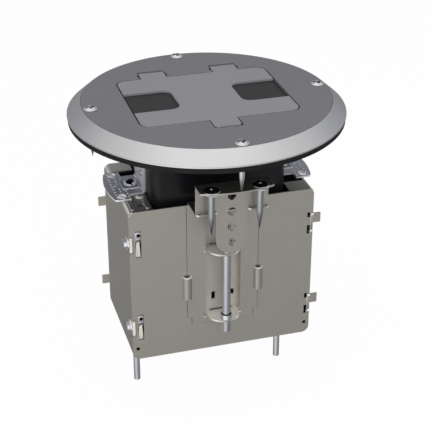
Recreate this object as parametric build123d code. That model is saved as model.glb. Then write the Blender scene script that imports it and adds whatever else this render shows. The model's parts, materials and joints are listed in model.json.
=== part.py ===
"""Floor socket box for a wood floor.

A sheet-steel box hangs under the floor from two height-adjustable brackets. A round trim ring
with a cover plate, a hinged lid and two sliding cable doors lies on the floor above it, and two
long levelling screws draw that cover assembly towards the box.

Sizes are in millimetres. +Z is up, and z = 0 is the finished floor under the gasket. The Z axis
runs through the centre of the trim ring. -Y is the front, and +X is to the right of it.
"""
import os
from math import hypot, sqrt

from build123d import *

os.makedirs("parts", exist_ok=True)

# Trim ring, gasket and cover plate
ring_edge_margin = 55.0
ring_height = 12.4
ring_edge_height = 1.4
ring_bevel_width = 12.8
ring_seat_width = 12.8
ring_relief_inset = 4.4
ring_relief_width = 6.0
ring_relief_depth = 3.2
gasket_thickness = 4.8
gasket_inset = 0.6
gasket_width = 23.0
cover_thickness = 4.0
cover_clearance = 0.3
ring_screw_inset = 7.1

# Wood screws
wood_screw_radius = 2.75
wood_screw_length = 46.0
wood_screw_tip = 14.0
wood_screw_shank_radius = 2.5
wood_screw_thread_drop = 0.3
wood_screw_hole_clearance = 0.35
oval_head_radius = 6.6
oval_head_height = 2.4
bracket_screw_radius = 3.05
bracket_screw_length = 44.4
bracket_screw_tip = 18.4
bracket_head_radius = 7.2
bracket_head_dome = 1.6

# Lid
lid_length = 144.0
lid_width = 109.6
lid_shift_back = 1.7
lid_corner_radius = 9.0
lid_thickness = 2.0
lid_gap = 0.8
lid_end_gap = 1.3
lid_hinge_side_gap = 1.2
lid_skirt_inset = 4.5
lid_skirt_thickness = 1.8
lid_rest_clearance = 0.2
tab_width = 24.2
tab_gap = 1.0
tab_corner_radius = 2.0
finger_tab_corner_radius = 5.0
hinge_tab_notch_depth = 1.2
hinge_tab_notch_width = 6.0
hinge_tab_notch_reach = 5.0
hinge_tab_spacing = 70.4
hinge_tab_reach = 16.0
hinge_tab_end_gap = 2.0
finger_tab_reach = 17.6
finger_lip_height = 0.7
finger_lip_width = 1.6
finger_notch_width = 3.4
finger_notch_depth = 1.6

# Lid hinge
hinge_axis_setback = 9.5
hinge_axis_depth = 5.4
hinge_pin_radius = 1.25
hinge_pin_grip = 4.5
hinge_knuckle_radius = 2.6
hinge_running_clearance = 0.05

# Cable doors and their guide
notch_length = 43.3
notch_width = 45.0
notch_corner_radius = 9.0
door_thickness = 2.0
door_edge_overlap = 3.0
door_end_gap = 0.4
slide_clearance = 0.1
guide_floor_thickness = 1.2
guide_wall_thickness = 2.4
guide_end_inset = 1.6
guide_stop_thickness = 1.2

# Seat frame and neck
frame_clearance = 0.4
ledge_depth = 2.0
ledge_thickness = 2.2
neck_end_inset = 8.6
neck_side_inset = 11.1
neck_wall = 2.8
neck_corner_radius = 9.0
neck_drop = 99.0
neck_flange_width = 7.0
neck_flange_thickness = 3.0

# Ears on the sides of the neck
ear_overhang = 23.6
ear_outer_width = 57.0
ear_inner_width = 38.0
ear_step_reach = 5.0
ear_thickness = 1.6
ear_rise = 26.0
ear_bend_radius = 2.0
ear_corner_radius = 3.0
ear_hole_radius = 3.2
ear_hole_reach = 12.3
ear_hole_spacing = 45.0
ear_pin_hole_radius = 1.2
ear_pin_hole_reach = 14.5
ear_frame_length = 17.0
ear_frame_width = 18.0
ear_frame_height = 0.9
ear_frame_rim = 1.3

# Levelling screws
levelling_screw_gap = 10.5
levelling_screw_radius = 3.175
levelling_screw_length = 218.5
levelling_head_radius = 6.5
levelling_head_height = 3.8
levelling_nut_flats = 11.1
levelling_nut_height = 5.5
levelling_clip_radius = 5.4
levelling_clip_thickness = 1.0
thread_clearance = 0.05

# Box
box_end_gap = 24.35
box_side_gap = 9.0
box_height = 156.6
box_top_z = -63.6
sheet = 1.6
sheet_gap = 0.1
box_top_chamfer = 4.2
box_bottom_radius = 7.0
top_flange_neck_gap = 1.0
long_flange_reach = 35.0
short_flange_reach = 18.0
bottom_flange_width = 8.75
floor_edge_height = 10.0

# Details of the walls and side panels
upper_panel_screw_drop = 32.9
lower_panel_screw_drop = 121.6
panel_screw_inset = 4.2
panel_screw_radius = 2.4
panel_screw_length = 17.0
panel_head_radius = 6.5
panel_head_height = 4.0
corner_notch_depth = 3.7
corner_notch_height = 17.0
sight_slot_width = 5.4
sight_slot_height = 28.0
sight_slot_inset = 8.4
return_flange_width = 9.0
return_flange_inset = 1.4
clip_curl_radius = 1.4
clip_curl_gap = 0.2
upper_tab_drop = 30.8
lower_tab_drop = 118.9
tab_plate_reach = 7.3
tab_plate_height = 9.6
tab_slot_width = 2.4
tab_slot_inset = 4.4
upper_tab_slot_height = 4.5
upper_tab_slot_rise = 3.6
lower_tab_slot_height = 6.8
lower_tab_slot_drop = 10.4
tab_strip_width = 2.6
tab_strip_inset = 0.6
tab_strip_height = 15.6
tab_strip_drop = 4.0
tab_strip_thickness = 0.8
corner_hole_size = 3.2
corner_hole_inset = 4.8
corner_hole_rise = 11.5
panel_hole_inset = 34.6
panel_hole_rise = 18.6
rib_length = 19.0
rib_width = 3.2
rib_height = 0.9
oval_hole_length = 8.0
oval_hole_width = 4.6
boss_radius = 4.5
boss_height = 1.6

# Rod channel in the front and back walls
channel_width = 68.4
channel_foot_width = 60.0
channel_foot_height = 8.0
channel_drop = 127.4
seam_gap = 0.4
seam_foot_gap = 0.1
trough_width = 32.4
trough_depth = 6.0
shelf_side_gap = 0.3
shelf_centre_setback = 0.6
upper_shelf_drop = 47.0
lower_shelf_rise = 9.2
trough_groove_width = 2.0
trough_groove_depth = 0.8
trough_slot_width = 3.5
left_trough_slot_x = 7.6
left_trough_slot_height = 8.2
left_trough_slot_rise = 15.8
right_trough_slot_x = 10.9
right_trough_slot_height = 6.0
right_trough_slot_rise = 17.0
shelf_slit_width = 22.0
shelf_slit_height = 1.3
shelf_relief_radius = 0.9
loop_radius = 4.3
loop_thickness = 1.2
loop_height = 23.5
loop_drop = 74.0

# Floor brackets and height rods
bracket_width = 66.8
bracket_standoff = 27.5
bracket_flange_radius = 101.2
bracket_flange_z = -31.3
bracket_web_height = 28.5
web_lip_reach = 4.0
web_lip_chamfer = 2.0
tongue_width = 28.8
tongue_drop = 71.4
tongue_hole_radius = 3.9
tongue_hole_pitch = 15.4
tongue_hole_rise = 11.3
bracket_screw_spacing = 44.2
bracket_screw_setback = 10.8
dimple_depth = 3.2
dimple_wall = 1.4
lift_key_clearance = 0.6
lift_key_reach = 4.4
lift_boss_radius = 6.6
lift_boss_height = 6.0
rod_standoff = 11.6
rod_radius = 3.97
rod_top_z = -46.0
rod_below_shelf = 14.0
collar_radius = 5.2
collar_rim = 1.0
collar_height = 5.4

# Devices inside the box
device_plate_drop = 32.4
device_plate_length = 132.0
device_flange_height = 12.0
device_setback = 20.0
device_body_length = 66.0
device_body_width = 27.6
device_body_depth = 22.0
device_face_height = 5.0
device_window_gap = 0.8
yoke_length = 105.0
yoke_width = 19.0
yoke_thickness = 1.2
device_screw_spacing = 95.0
device_screw_radius = 1.7
device_screw_length = 8.0
outlet_spacing = 38.6
outlet_radius = 16.6
outlet_blade_spacing = 12.7
outlet_slot_depth = 4.0
jack_count = 4
jack_pitch = 16.0
jack_width = 14.5
jack_length = 17.0
jack_height = 19.0
port_width = 11.7
port_length = 8.4
port_depth = 9.0
divider_length = 120.0
divider_thickness = 1.2
divider_foot_length = 50.0
divider_foot_width = 9.0
knockout_radii = (11.1, 14.3)
knockout_x = 40.0
knockout_y = 26.0
knockout_groove_width = 0.5
knockout_groove_depth = 0.8
ground_screw_x = 0.0
ground_screw_y = 30.0

# Small screws
small_screw_radius = 1.6
small_head_radius = 3.2
small_head_height = 1.8
frame_screw_end_inset = 8.0
frame_screw_side_gap = 11.2
neck_screw_y = 28.0
guide_screw_y_gap = 4.0

# Heights that follow from the sizes above
ring_bottom_z = gasket_thickness
cover_top_z = ring_bottom_z + ring_height
cover_bottom_z = cover_top_z - cover_thickness
lid_bottom_z = cover_top_z - lid_thickness
door_top_z = lid_bottom_z - slide_clearance
door_bottom_z = door_top_z - door_thickness
guide_floor_z = door_bottom_z - slide_clearance
guide_bottom_z = guide_floor_z - guide_floor_thickness
ledge_top_z = cover_bottom_z - ledge_depth
frame_bottom_z = ledge_top_z - ledge_thickness
neck_bottom_z = frame_bottom_z - neck_drop
hinge_axis_z = cover_top_z - hinge_axis_depth
ear_bottom_z = box_top_z
ear_top_z = ear_bottom_z + ear_thickness
box_bottom_z = box_top_z - box_height
floor_panel_top_z = box_bottom_z + 2 * sheet
bracket_web_bottom_z = bracket_flange_z - bracket_web_height
upper_shelf_z = box_top_z - upper_shelf_drop
lower_shelf_z = box_top_z - channel_drop + lower_shelf_rise
device_plate_z = box_top_z - device_plate_drop

# Places that follow from the sizes above
ring_radius = lid_length / 2 + ring_edge_margin
cover_radius = ring_radius - ring_bevel_width
frame_radius = cover_radius - ring_seat_width - frame_clearance
frame_screw_x = lid_length / 2 - frame_screw_end_inset
frame_screw_y = lid_width / 2 + frame_screw_side_gap
neck_length = lid_length - 2 * neck_end_inset
neck_width = lid_width - 2 * neck_side_inset
levelling_screw_x = neck_length / 2 + levelling_screw_gap
ear_radius = levelling_screw_x + ear_overhang
ear_step_x = levelling_screw_x + ear_step_reach
ear_hole_x = levelling_screw_x + ear_hole_reach
ear_pin_hole_x = levelling_screw_x + ear_pin_hole_reach
lid_front_y = lid_shift_back - lid_width / 2
lid_back_y = lid_shift_back + lid_width / 2
hinge_axis_y = lid_back_y + hinge_axis_setback
notch_inner_x = lid_length / 2 - notch_length
door_half_width = notch_width / 2 + door_edge_overlap
guide_half_width = door_half_width + slide_clearance + guide_wall_thickness
half_length = neck_length / 2 + box_end_gap
half_width = neck_width / 2 + box_side_gap
top_flange_edge_x = neck_length / 2 + top_flange_neck_gap
bottom_flange_edge_x = half_length - bottom_flange_width
wall_inside_y = half_width - sheet
panel_half_width = wall_inside_y - sheet_gap
web_front_y = -half_width - bracket_standoff
rod_y = -half_width - rod_standoff
panel_screw_drops = (upper_panel_screw_drop, lower_panel_screw_drop)
tab_drops = (upper_tab_drop, lower_tab_drop)
sides = (-1, 1)


def block(x, y, z):
    """A box between low and high limits along each axis."""
    centre = Pos(sum(x) / 2, sum(y) / 2, sum(z) / 2)
    return centre * Box(x[1] - x[0], y[1] - y[0], z[1] - z[0])


def disc(radius, z, x=0, y=0):
    """An upright cylinder between two heights."""
    return Pos(x, y, sum(z) / 2) * Cylinder(radius, z[1] - z[0])


def prism(outline, z):
    """A plan outline raised between two heights."""
    return extrude(Pos(0, 0, z[0]) * outline, z[1] - z[0])


def upright(outline, y):
    """An outline drawn in X and Z, as thick as the span of y."""
    return Pos(0, y[1], 0) * (Plane.XZ * extrude(outline, y[1] - y[0]))


def sideways(outline, x):
    """An outline drawn in Y and Z, as thick as the span of x."""
    return Pos(x[0], 0, 0) * (Plane.YZ * extrude(outline, x[1] - x[0]))


def panel(x, y, corner=0):
    """A flat rectangle between limits, with rounded corners if a radius is given."""
    size = (x[1] - x[0], y[1] - y[0])
    shape = RectangleRounded(*size, corner) if corner else Rectangle(*size)
    return Pos(sum(x) / 2, sum(y) / 2) * shape


def turned(profile, x=0, y=0):
    """A solid of revolution about an upright axis, from (radius, height) points."""
    outline = make_face(Polyline(*profile, close=True))
    return Pos(x, y) * revolve(Plane.XZ * outline, Axis.Z)


def folded_strip(front, thickness, back_y, ends):
    """Plan section of a folded sheet: its front face runs through the given points."""
    margin = 20
    first, last = front[0], front[-1]
    line = [(first[0] - margin, first[1]), *front[1:-1], (last[0] + margin, last[1])]
    solid_side = make_face(
        Polyline(*line, (last[0] + margin, back_y), (first[0] - margin, back_y), close=True)
    )
    inner = offset(solid_side, amount=-thickness, kind=Kind.INTERSECTION)
    low = min(point[1] for point in front) - 1
    return (solid_side - inner) & panel(ends, (low, back_y - thickness - 1))


def half_turn(shape):
    """The same shape at the opposite side of the box."""
    return Rot(0, 0, 180) * shape


def several(shapes):
    """Separate solids kept in one file."""
    solids = []
    for shape in shapes:
        solids.extend(shape.solids())
    return Compound(children=solids)


def hinge_tab_centres():
    """Middles of the two hinge tabs along the lid."""
    return [side * hinge_tab_spacing / 2 for side in sides]


def lid_outline(gap, end_gap, hinge_gap, tab_side_gap, hinge_end_gap, finger_corner):
    """Plan outline of the lid, or of the opening round it when gaps are given."""
    half = lid_length / 2 + end_gap
    corner = lid_corner_radius + gap
    outline = panel((-half, half), (lid_front_y - gap, lid_back_y + hinge_gap), corner)
    reach = tab_width / 2 + tab_side_gap
    back = lid_back_y + hinge_tab_reach + hinge_end_gap
    for centre in hinge_tab_centres():
        outline += panel((centre - reach, centre + reach), (lid_shift_back, back), tab_corner_radius)
    front = lid_front_y - finger_tab_reach - gap
    outline += panel((-reach, reach), (front, lid_shift_back), finger_corner)
    return outline


def opening_outline():
    """Plan outline of the opening for the lid in the cover plate and seat frame."""
    gaps = (lid_gap, lid_end_gap, lid_hinge_side_gap, tab_gap, hinge_tab_end_gap)
    outline = lid_outline(*gaps, tab_corner_radius)
    notch_y = lid_back_y + hinge_tab_notch_reach
    reach = tab_width / 2 + tab_gap + hinge_tab_notch_depth
    for centre in hinge_tab_centres():
        x = (centre - reach, centre + reach)
        outline += panel(x, (notch_y, notch_y + hinge_tab_notch_width))
    return outline


def ring_screw_places():
    """The four screws of the trim ring, on the X and Y axes."""
    radius = cover_radius - ring_screw_inset
    return [(radius, 0), (0, radius), (-radius, 0), (0, -radius)]


def ring_screw_holes(z):
    """Clearance holes for the ring screws between two heights."""
    radius = wood_screw_radius + wood_screw_hole_clearance
    return [disc(radius, z, x, y) for x, y in ring_screw_places()]


def make_trim_ring():
    """Aluminium ring with a wide bevel, an inner seat for the cover plate and a relief below."""
    relief_outer = ring_radius - ring_relief_inset
    relief_inner = relief_outer - ring_relief_width
    relief_z = ring_bottom_z + ring_relief_depth
    seat_radius = cover_radius - ring_seat_width
    profile = [
        (seat_radius, ring_bottom_z),
        (relief_inner, ring_bottom_z),
        (relief_inner, relief_z),
        (relief_outer, relief_z),
        (relief_outer, ring_bottom_z),
        (ring_radius, ring_bottom_z),
        (ring_radius, ring_bottom_z + ring_edge_height),
        (cover_radius, cover_top_z),
        (cover_radius, cover_bottom_z),
        (seat_radius, cover_bottom_z),
    ]
    ring = turned(profile)
    for hole in ring_screw_holes((0, cover_top_z)):
        ring -= hole
    return ring


def make_floor_gasket():
    """Flat rubber ring between the trim ring and the floor."""
    outer = ring_radius - gasket_inset
    gasket = disc(outer, (0, ring_bottom_z)) - disc(outer - gasket_width, (-1, ring_bottom_z + 1))
    for hole in ring_screw_holes((-1, ring_bottom_z + 1)):
        gasket -= hole
    return gasket


def make_cover_plate():
    """Round plate inside the ring, with the lid opening and its tab cut-outs."""
    plate = disc(cover_radius - cover_clearance, (cover_bottom_z, cover_top_z))
    plate -= prism(opening_outline(), (cover_bottom_z - 1, cover_top_z + 1))
    front = lid_front_y - finger_tab_reach - lid_gap
    for side in sides:
        centre = side * tab_width / 4
        notch_x = (centre - finger_notch_width / 2, centre + finger_notch_width / 2)
        notch_y = (front - finger_notch_depth, front + 1)
        plate -= block(notch_x, notch_y, (cover_bottom_z - 1, cover_top_z + 1))
    for hole in ring_screw_holes((cover_bottom_z - 1, cover_top_z + 1)):
        plate -= hole
    for x, y in frame_screw_places():
        plate -= disc(small_screw_radius, (cover_bottom_z - 1, cover_top_z - 1.0), x, y)
    return plate


def frame_screw_places():
    """Screws that hold the seat frame under the cover plate."""
    return [(side * frame_screw_x, end * frame_screw_y) for side in sides for end in sides]


def neck_screw_places():
    """Screws through the ledge into the flange of the neck."""
    x = (neck_length + neck_flange_width) / 2
    return [(side * x, end * neck_screw_y) for side in sides for end in sides]


def hinge_windows(z):
    """Openings that the hinge tabs swing down through."""
    reach = tab_width / 2 + tab_gap
    y = (
        hinge_axis_y - hinge_knuckle_radius - 3.0,
        lid_back_y + hinge_tab_reach + hinge_tab_end_gap,
    )
    return [block((c - reach, c + reach), y, z) for c in hinge_tab_centres()]


def make_seat_frame():
    """Plastic plate under the cover plate: a ledge for the lid and grooves for the hinge pins."""
    frame = disc(frame_radius, (frame_bottom_z, cover_bottom_z))
    frame -= prism(opening_outline(), (ledge_top_z, cover_bottom_z + 1))
    frame -= neck_core((frame_bottom_z - 1, cover_bottom_z + 1))
    for window in hinge_windows((frame_bottom_z - 1, cover_bottom_z + 1)):
        frame -= window
    groove_radius = hinge_pin_radius + hinge_running_clearance
    groove_y = (hinge_axis_y - groove_radius, hinge_axis_y + groove_radius)
    for centre in hinge_tab_centres():
        reach = tab_width / 2 + tab_gap + hinge_pin_grip
        x = (centre - reach, centre + reach)
        frame -= block(x, groove_y, (hinge_axis_z, cover_bottom_z + 1))
        frame -= lying_rod(groove_radius, x, hinge_axis_y, hinge_axis_z)
    for x, y in frame_screw_places():
        frame -= disc(small_screw_radius + 0.3, (frame_bottom_z - 1, cover_bottom_z + 1), x, y)
    for x, y in neck_screw_places():
        frame -= countersunk_hole(x, y, ledge_top_z)
    return frame


def lying_rod(radius, x, y, z):
    """A cylinder along X between two limits."""
    return Pos(sum(x) / 2, y, z) * Rot(0, 90, 0) * Cylinder(radius, x[1] - x[0])


def countersunk_hole(x, y, z):
    """Hole for a small countersunk screw whose head is level with z."""
    drop = small_head_radius - small_screw_radius
    hole = disc(small_screw_radius, (z - 20, z), x, y)
    return hole + Pos(x, y, z - drop / 2) * Cone(small_screw_radius, small_head_radius, drop)


def small_countersunk_screw(x, y, z, length):
    """Small screw with its flat head level with z, pointing down."""
    drop = small_head_radius - small_screw_radius
    profile = [(0, z - length), (small_screw_radius, z - length)]
    profile += [(small_screw_radius, z - drop), (small_head_radius, z), (0, z)]
    return turned(profile, x, y)


def small_pan_screw(x, y, z, length, up=False):
    """Small screw with its head on the face at z, pointing down, or up if asked."""
    way = 1 if up else -1
    edge = small_head_radius * 0.6
    profile = [
        (0, z + way * length),
        (small_screw_radius, z + way * length),
        (small_screw_radius, z),
        (small_head_radius, z),
        (small_head_radius, z - way * small_head_height / 2),
        (edge, z - way * small_head_height),
        (0, z - way * small_head_height),
    ]
    return turned(profile, x, y)


def neck_core(z):
    """The room inside the neck between two heights."""
    half_x = neck_length / 2 - neck_wall
    half_y = neck_width / 2 - neck_wall
    return prism(panel((-half_x, half_x), (-half_y, half_y), neck_corner_radius - neck_wall), z)


def make_neck():
    """Rectangular sleeve with rounded corners and a flange that hangs from the seat frame."""
    half_x, half_y = neck_length / 2, neck_width / 2
    sleeve = prism(
        panel((-half_x, half_x), (-half_y, half_y), neck_corner_radius),
        (neck_bottom_z, frame_bottom_z),
    )
    flange_x = half_x + neck_flange_width
    flange_y = half_y + neck_flange_width
    sleeve += prism(
        panel((-flange_x, flange_x), (-flange_y, flange_y), neck_corner_radius),
        (frame_bottom_z - neck_flange_thickness, frame_bottom_z),
    )
    sleeve -= neck_core((neck_bottom_z - 1, frame_bottom_z + 1))
    for x, y in neck_screw_places():
        sleeve -= disc(small_screw_radius, (frame_bottom_z - 20, frame_bottom_z + 1), x, y)
    for x, y, z in ear_screw_places():
        hole = lying_rod(small_screw_radius, (x - neck_wall - 1, x + neck_wall + 1), y, z)
        sleeve -= hole
    return sleeve


def ear_screw_places():
    """Two screws through the upright leg of each ear into the side of the neck."""
    z = ear_top_z + ear_rise * 0.6
    y = ear_inner_width / 4
    return [(side * neck_length / 2, end * y, z) for side in sides for end in sides]


def make_ear():
    """Left ear: an arc-edged plate over the box and a leg up the side of the neck."""
    outer = Circle(ear_radius) & panel(
        (-ear_radius, -ear_step_x), (-ear_outer_width / 2, ear_outer_width / 2)
    )
    inner = panel((-ear_step_x - 1, -neck_length / 2), (-ear_inner_width / 2, ear_inner_width / 2))
    outline = outer + inner
    outline = fillet(outline.vertices().group_by(Axis.X)[0], ear_corner_radius)
    plate = prism(outline, (ear_bottom_z, ear_top_z))
    leg_x = (-neck_length / 2 - ear_thickness, -neck_length / 2)
    leg_y = (-ear_inner_width / 2, ear_inner_width / 2)
    leg = sideways(panel(leg_y, (ear_bottom_z, ear_top_z + ear_rise)), leg_x)
    ear = plate + leg
    inside_edge = ear.edges().filter_by(Axis.Y).sort_by(
        lambda edge: hypot(edge.center().X - leg_x[0], edge.center().Z - ear_top_z)
    )[0]
    ear = fillet(inside_edge, ear_bend_radius)
    outside_edge = ear.edges().filter_by(Axis.Y).sort_by(
        lambda edge: hypot(edge.center().X - leg_x[1], edge.center().Z - ear_bottom_z)
    )[0]
    ear = fillet(outside_edge, ear_bend_radius + ear_thickness)
    frame_x = (-levelling_screw_x - ear_frame_length / 2, -levelling_screw_x + ear_frame_length / 2)
    frame_y = (-ear_frame_width / 2, ear_frame_width / 2)
    rim = ear_frame_rim
    ear += prism(
        panel(frame_x, frame_y, 2)
        - panel(
            (frame_x[0] + rim, frame_x[1] - rim),
            (frame_y[0] + rim, frame_y[1] - rim),
            2 - rim / 2,
        ),
        (ear_top_z, ear_top_z + ear_frame_height),
    )
    z = (ear_bottom_z - 1, ear_top_z + 3)
    ear -= disc(levelling_screw_radius + thread_clearance, z, -levelling_screw_x)
    for end in sides:
        ear -= disc(ear_hole_radius, z, -ear_hole_x, end * ear_hole_spacing / 2)
    ear -= disc(ear_pin_hole_radius, z, -ear_pin_hole_x)
    for x, y, height in ear_screw_places():
        hole_radius = small_screw_radius + 0.2
        ear -= lying_rod(hole_radius, (x - ear_thickness - 1, x + 1), y, height)
    return ear


def make_ear_screws():
    """Pan-head screws that fix the ears' legs to the neck."""
    screws = []
    for x, y, z in ear_screw_places():
        side = 1 if x > 0 else -1
        screw = small_pan_screw(0, 0, 0, neck_wall + ear_thickness)
        face_x = x + side * ear_thickness
        screws.append(Pos(face_x, y, z) * Rot(0, side * 90, 0) * screw)
    return several(screws)


def make_levelling_screw():
    """Left levelling screw: pan head on the ear, shank through the box and out below it."""
    tip_z = ear_top_z - levelling_screw_length
    profile = [
        (0, tip_z),
        (levelling_screw_radius - 0.8, tip_z),
        (levelling_screw_radius, tip_z + 1.2),
        (levelling_screw_radius, ear_top_z),
        (levelling_head_radius, ear_top_z),
        (levelling_head_radius - 0.3, ear_top_z + levelling_head_height * 0.45),
        (levelling_head_radius * 0.62, ear_top_z + levelling_head_height * 0.9),
        (0, ear_top_z + levelling_head_height),
    ]
    return turned(profile, -levelling_screw_x)


def make_levelling_clip():
    """Ring that keeps the left levelling screw in its ear."""
    top = ear_bottom_z - 0.3
    z = (top - levelling_clip_thickness, top)
    clip = disc(levelling_clip_radius, z, -levelling_screw_x)
    return clip - disc(levelling_screw_radius, (z[0] - 1, z[1] + 1), -levelling_screw_x)


def make_levelling_nuts():
    """Hexagon nuts on the floor of the box."""
    z = (floor_panel_top_z, floor_panel_top_z + levelling_nut_height)
    nuts = []
    for side in sides:
        corner_radius = levelling_nut_flats / sqrt(3)
        nut = prism(Pos(side * levelling_screw_x, 0) * RegularPolygon(corner_radius, 6), z)
        bore = levelling_screw_radius + thread_clearance
        nuts.append(nut - disc(bore, (z[0] - 1, z[1] + 1), side * levelling_screw_x))
    return several(nuts)


def make_ring_screws():
    """Four wood screws with oval heads on the cover plate."""
    screws = []
    for x, y in ring_screw_places():
        profile = [
            (0, cover_top_z - wood_screw_length),
            (wood_screw_radius, cover_top_z - wood_screw_length + wood_screw_tip),
            (wood_screw_radius, -wood_screw_thread_drop),
            (wood_screw_shank_radius, -wood_screw_thread_drop),
            (wood_screw_shank_radius, cover_top_z),
            (oval_head_radius, cover_top_z),
            (oval_head_radius * 0.93, cover_top_z + oval_head_height * 0.4),
            (oval_head_radius * 0.62, cover_top_z + oval_head_height * 0.85),
            (0, cover_top_z + oval_head_height),
        ]
        screws.append(turned(profile, x, y))
    return several(screws)


def make_lid():
    """Thin cast lid with a skirt below, notches for the cable doors and two hinge knuckles."""
    lid = prism(lid_outline(0, 0, 0, 0, 0, finger_tab_corner_radius), (lid_bottom_z, cover_top_z))
    skirt_z = (ledge_top_z + lid_rest_clearance, lid_bottom_z)
    lid += prism(skirt_outline(lid_skirt_inset), skirt_z)
    lid -= prism(skirt_outline(lid_skirt_inset + lid_skirt_thickness), (0, lid_bottom_z))
    room = guide_half_width + 1.0
    for side in sides:
        x = (side * lid_length / 2 - 12, side * lid_length / 2 + 12)
        lid -= block(x, (lid_shift_back - room, lid_shift_back + room), (0, lid_bottom_z))
        lid -= prism(notch_outline(side), (0, cover_top_z + 1))
    for centre in hinge_tab_centres():
        x = (centre - tab_width / 2, centre + tab_width / 2)
        lid += lying_rod(hinge_knuckle_radius, x, hinge_axis_y, hinge_axis_z)
        knuckle_y = (hinge_axis_y - hinge_knuckle_radius, hinge_axis_y + hinge_knuckle_radius)
        lid += block(x, knuckle_y, (hinge_axis_z, lid_bottom_z + 0.5))
        bore = hinge_pin_radius + hinge_running_clearance
        lid -= lying_rod(bore, (x[0] - 1, x[1] + 1), hinge_axis_y, hinge_axis_z)
        back = lid_back_y + hinge_tab_reach
        corner = block((x[0] - 1, x[1] + 1), (back - 2, back + 1), (lid_bottom_z, cover_top_z + 1))
        lid -= corner - lying_rod(2, (x[0] - 1, x[1] + 1), back - 2, cover_top_z - 2)
    lip_y = (lid_front_y - finger_tab_reach, lid_front_y - finger_tab_reach + finger_lip_width)
    lip_half = tab_width / 2 - finger_tab_corner_radius
    lip_x = (-lip_half, lip_half)
    lid += block(lip_x, lip_y, (lid_bottom_z, cover_top_z + finger_lip_height))
    for x, y in guide_screw_places():
        lid -= disc(small_screw_radius, (lid_bottom_z - 5, lid_bottom_z + 1.2), x, y)
    return lid


def skirt_outline(inset):
    """Plan rectangle that follows the lid's edge at a distance inside it."""
    half = lid_length / 2 - inset
    corner = max(lid_corner_radius - inset, 1.0)
    return panel((-half, half), (lid_front_y + inset, lid_back_y - inset), corner)


def notch_outline(side):
    """Notch for a cable door at one end of the lid, with rounded inner corners."""
    inner = side * notch_inner_x
    outer = side * (lid_length / 2 + notch_corner_radius + 1)
    half = notch_width / 2
    y = (lid_shift_back - half, lid_shift_back + half)
    return panel((min(inner, outer), max(inner, outer)), y, notch_corner_radius)


def guide_screw_places():
    """Four screws that hold the door guide under the lid."""
    x = notch_inner_x - door_edge_overlap - 2.0
    y = guide_half_width + guide_screw_y_gap
    return [(side * x, lid_shift_back + end * y) for side in sides for end in sides]


def make_door_guide():
    """Tray under the lid in which the two cable doors slide."""
    half = lid_length / 2 - guide_end_inset
    y = (lid_shift_back - guide_half_width, lid_shift_back + guide_half_width)
    guide = block((-half, half), y, (guide_bottom_z, lid_bottom_z))
    for x, place_y in guide_screw_places():
        guide += disc(small_head_radius + 1.4, (guide_bottom_z, lid_bottom_z), x, place_y)
    channel_half = door_half_width + slide_clearance
    channel_y = (lid_shift_back - channel_half, lid_shift_back + channel_half)
    for side in sides:
        x = (side * guide_stop_thickness / 2, side * (half + 1))
        guide -= block(sorted(x), channel_y, (guide_floor_z, lid_bottom_z + 1))
        guide -= prism(notch_outline(side), (guide_bottom_z - 1, lid_bottom_z + 1))
    for x, place_y in guide_screw_places():
        guide -= disc(small_screw_radius + 0.1, (guide_bottom_z - 1, lid_bottom_z + 1), x, place_y)
    return guide


def make_guide_screws():
    """Screws of the door guide, heads down."""
    places = guide_screw_places()
    length = lid_bottom_z - guide_bottom_z + 1.0
    return several(small_pan_screw(x, y, guide_bottom_z, length, up=True) for x, y in places)


def make_cable_door():
    """Left cable door: a flat slide that is wider than its notch, with a finger ridge below."""
    outer = -lid_length / 2 + door_end_gap
    inner = -(notch_inner_x - door_edge_overlap)
    y = (lid_shift_back - door_half_width, lid_shift_back + door_half_width)
    return block((outer, inner), y, (door_bottom_z, door_top_z))


def make_hinge_pins():
    """Two pins that lie in the grooves of the seat frame and pass through the knuckles."""
    reach = tab_width / 2 + tab_gap + hinge_pin_grip - 0.3
    pins = []
    for centre in hinge_tab_centres():
        x = (centre - reach, centre + reach)
        pins.append(lying_rod(hinge_pin_radius, x, hinge_axis_y, hinge_axis_z))
    return several(pins)


def make_frame_screws():
    """Screws from below through the seat frame into the cover plate."""
    length = cover_top_z - 1.2 - frame_bottom_z
    places = frame_screw_places()
    return several(small_pan_screw(x, y, frame_bottom_z, length, up=True) for x, y in places)


def make_neck_screws():
    """Countersunk screws through the ledge into the flange of the neck."""
    length = ledge_thickness + neck_flange_thickness
    places = neck_screw_places()
    return several(small_countersunk_screw(x, y, ledge_top_z, length) for x, y in places)


def box_outline():
    """Front view of the box: bottom corners rounded, top corners cut off."""
    outline = panel((-half_length, half_length), (box_bottom_z, box_top_z))
    outline = fillet(outline.vertices().sort_by(Axis.Y)[:2], box_bottom_radius)
    return chamfer(outline.vertices().sort_by(Axis.Y)[-2:], box_top_chamfer)


def channel_outline(gap, foot_gap):
    """Front view of the rod channel plate, or of the window round it when gaps are given."""
    half, foot = channel_width / 2 + gap, channel_foot_width / 2 + gap
    bottom = box_top_z - channel_drop - foot_gap
    jog = bottom + channel_foot_height
    outline = panel((-half, half), (jog, box_top_z + gap))
    return outline + panel((-foot, foot), (bottom, jog + 1))


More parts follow.
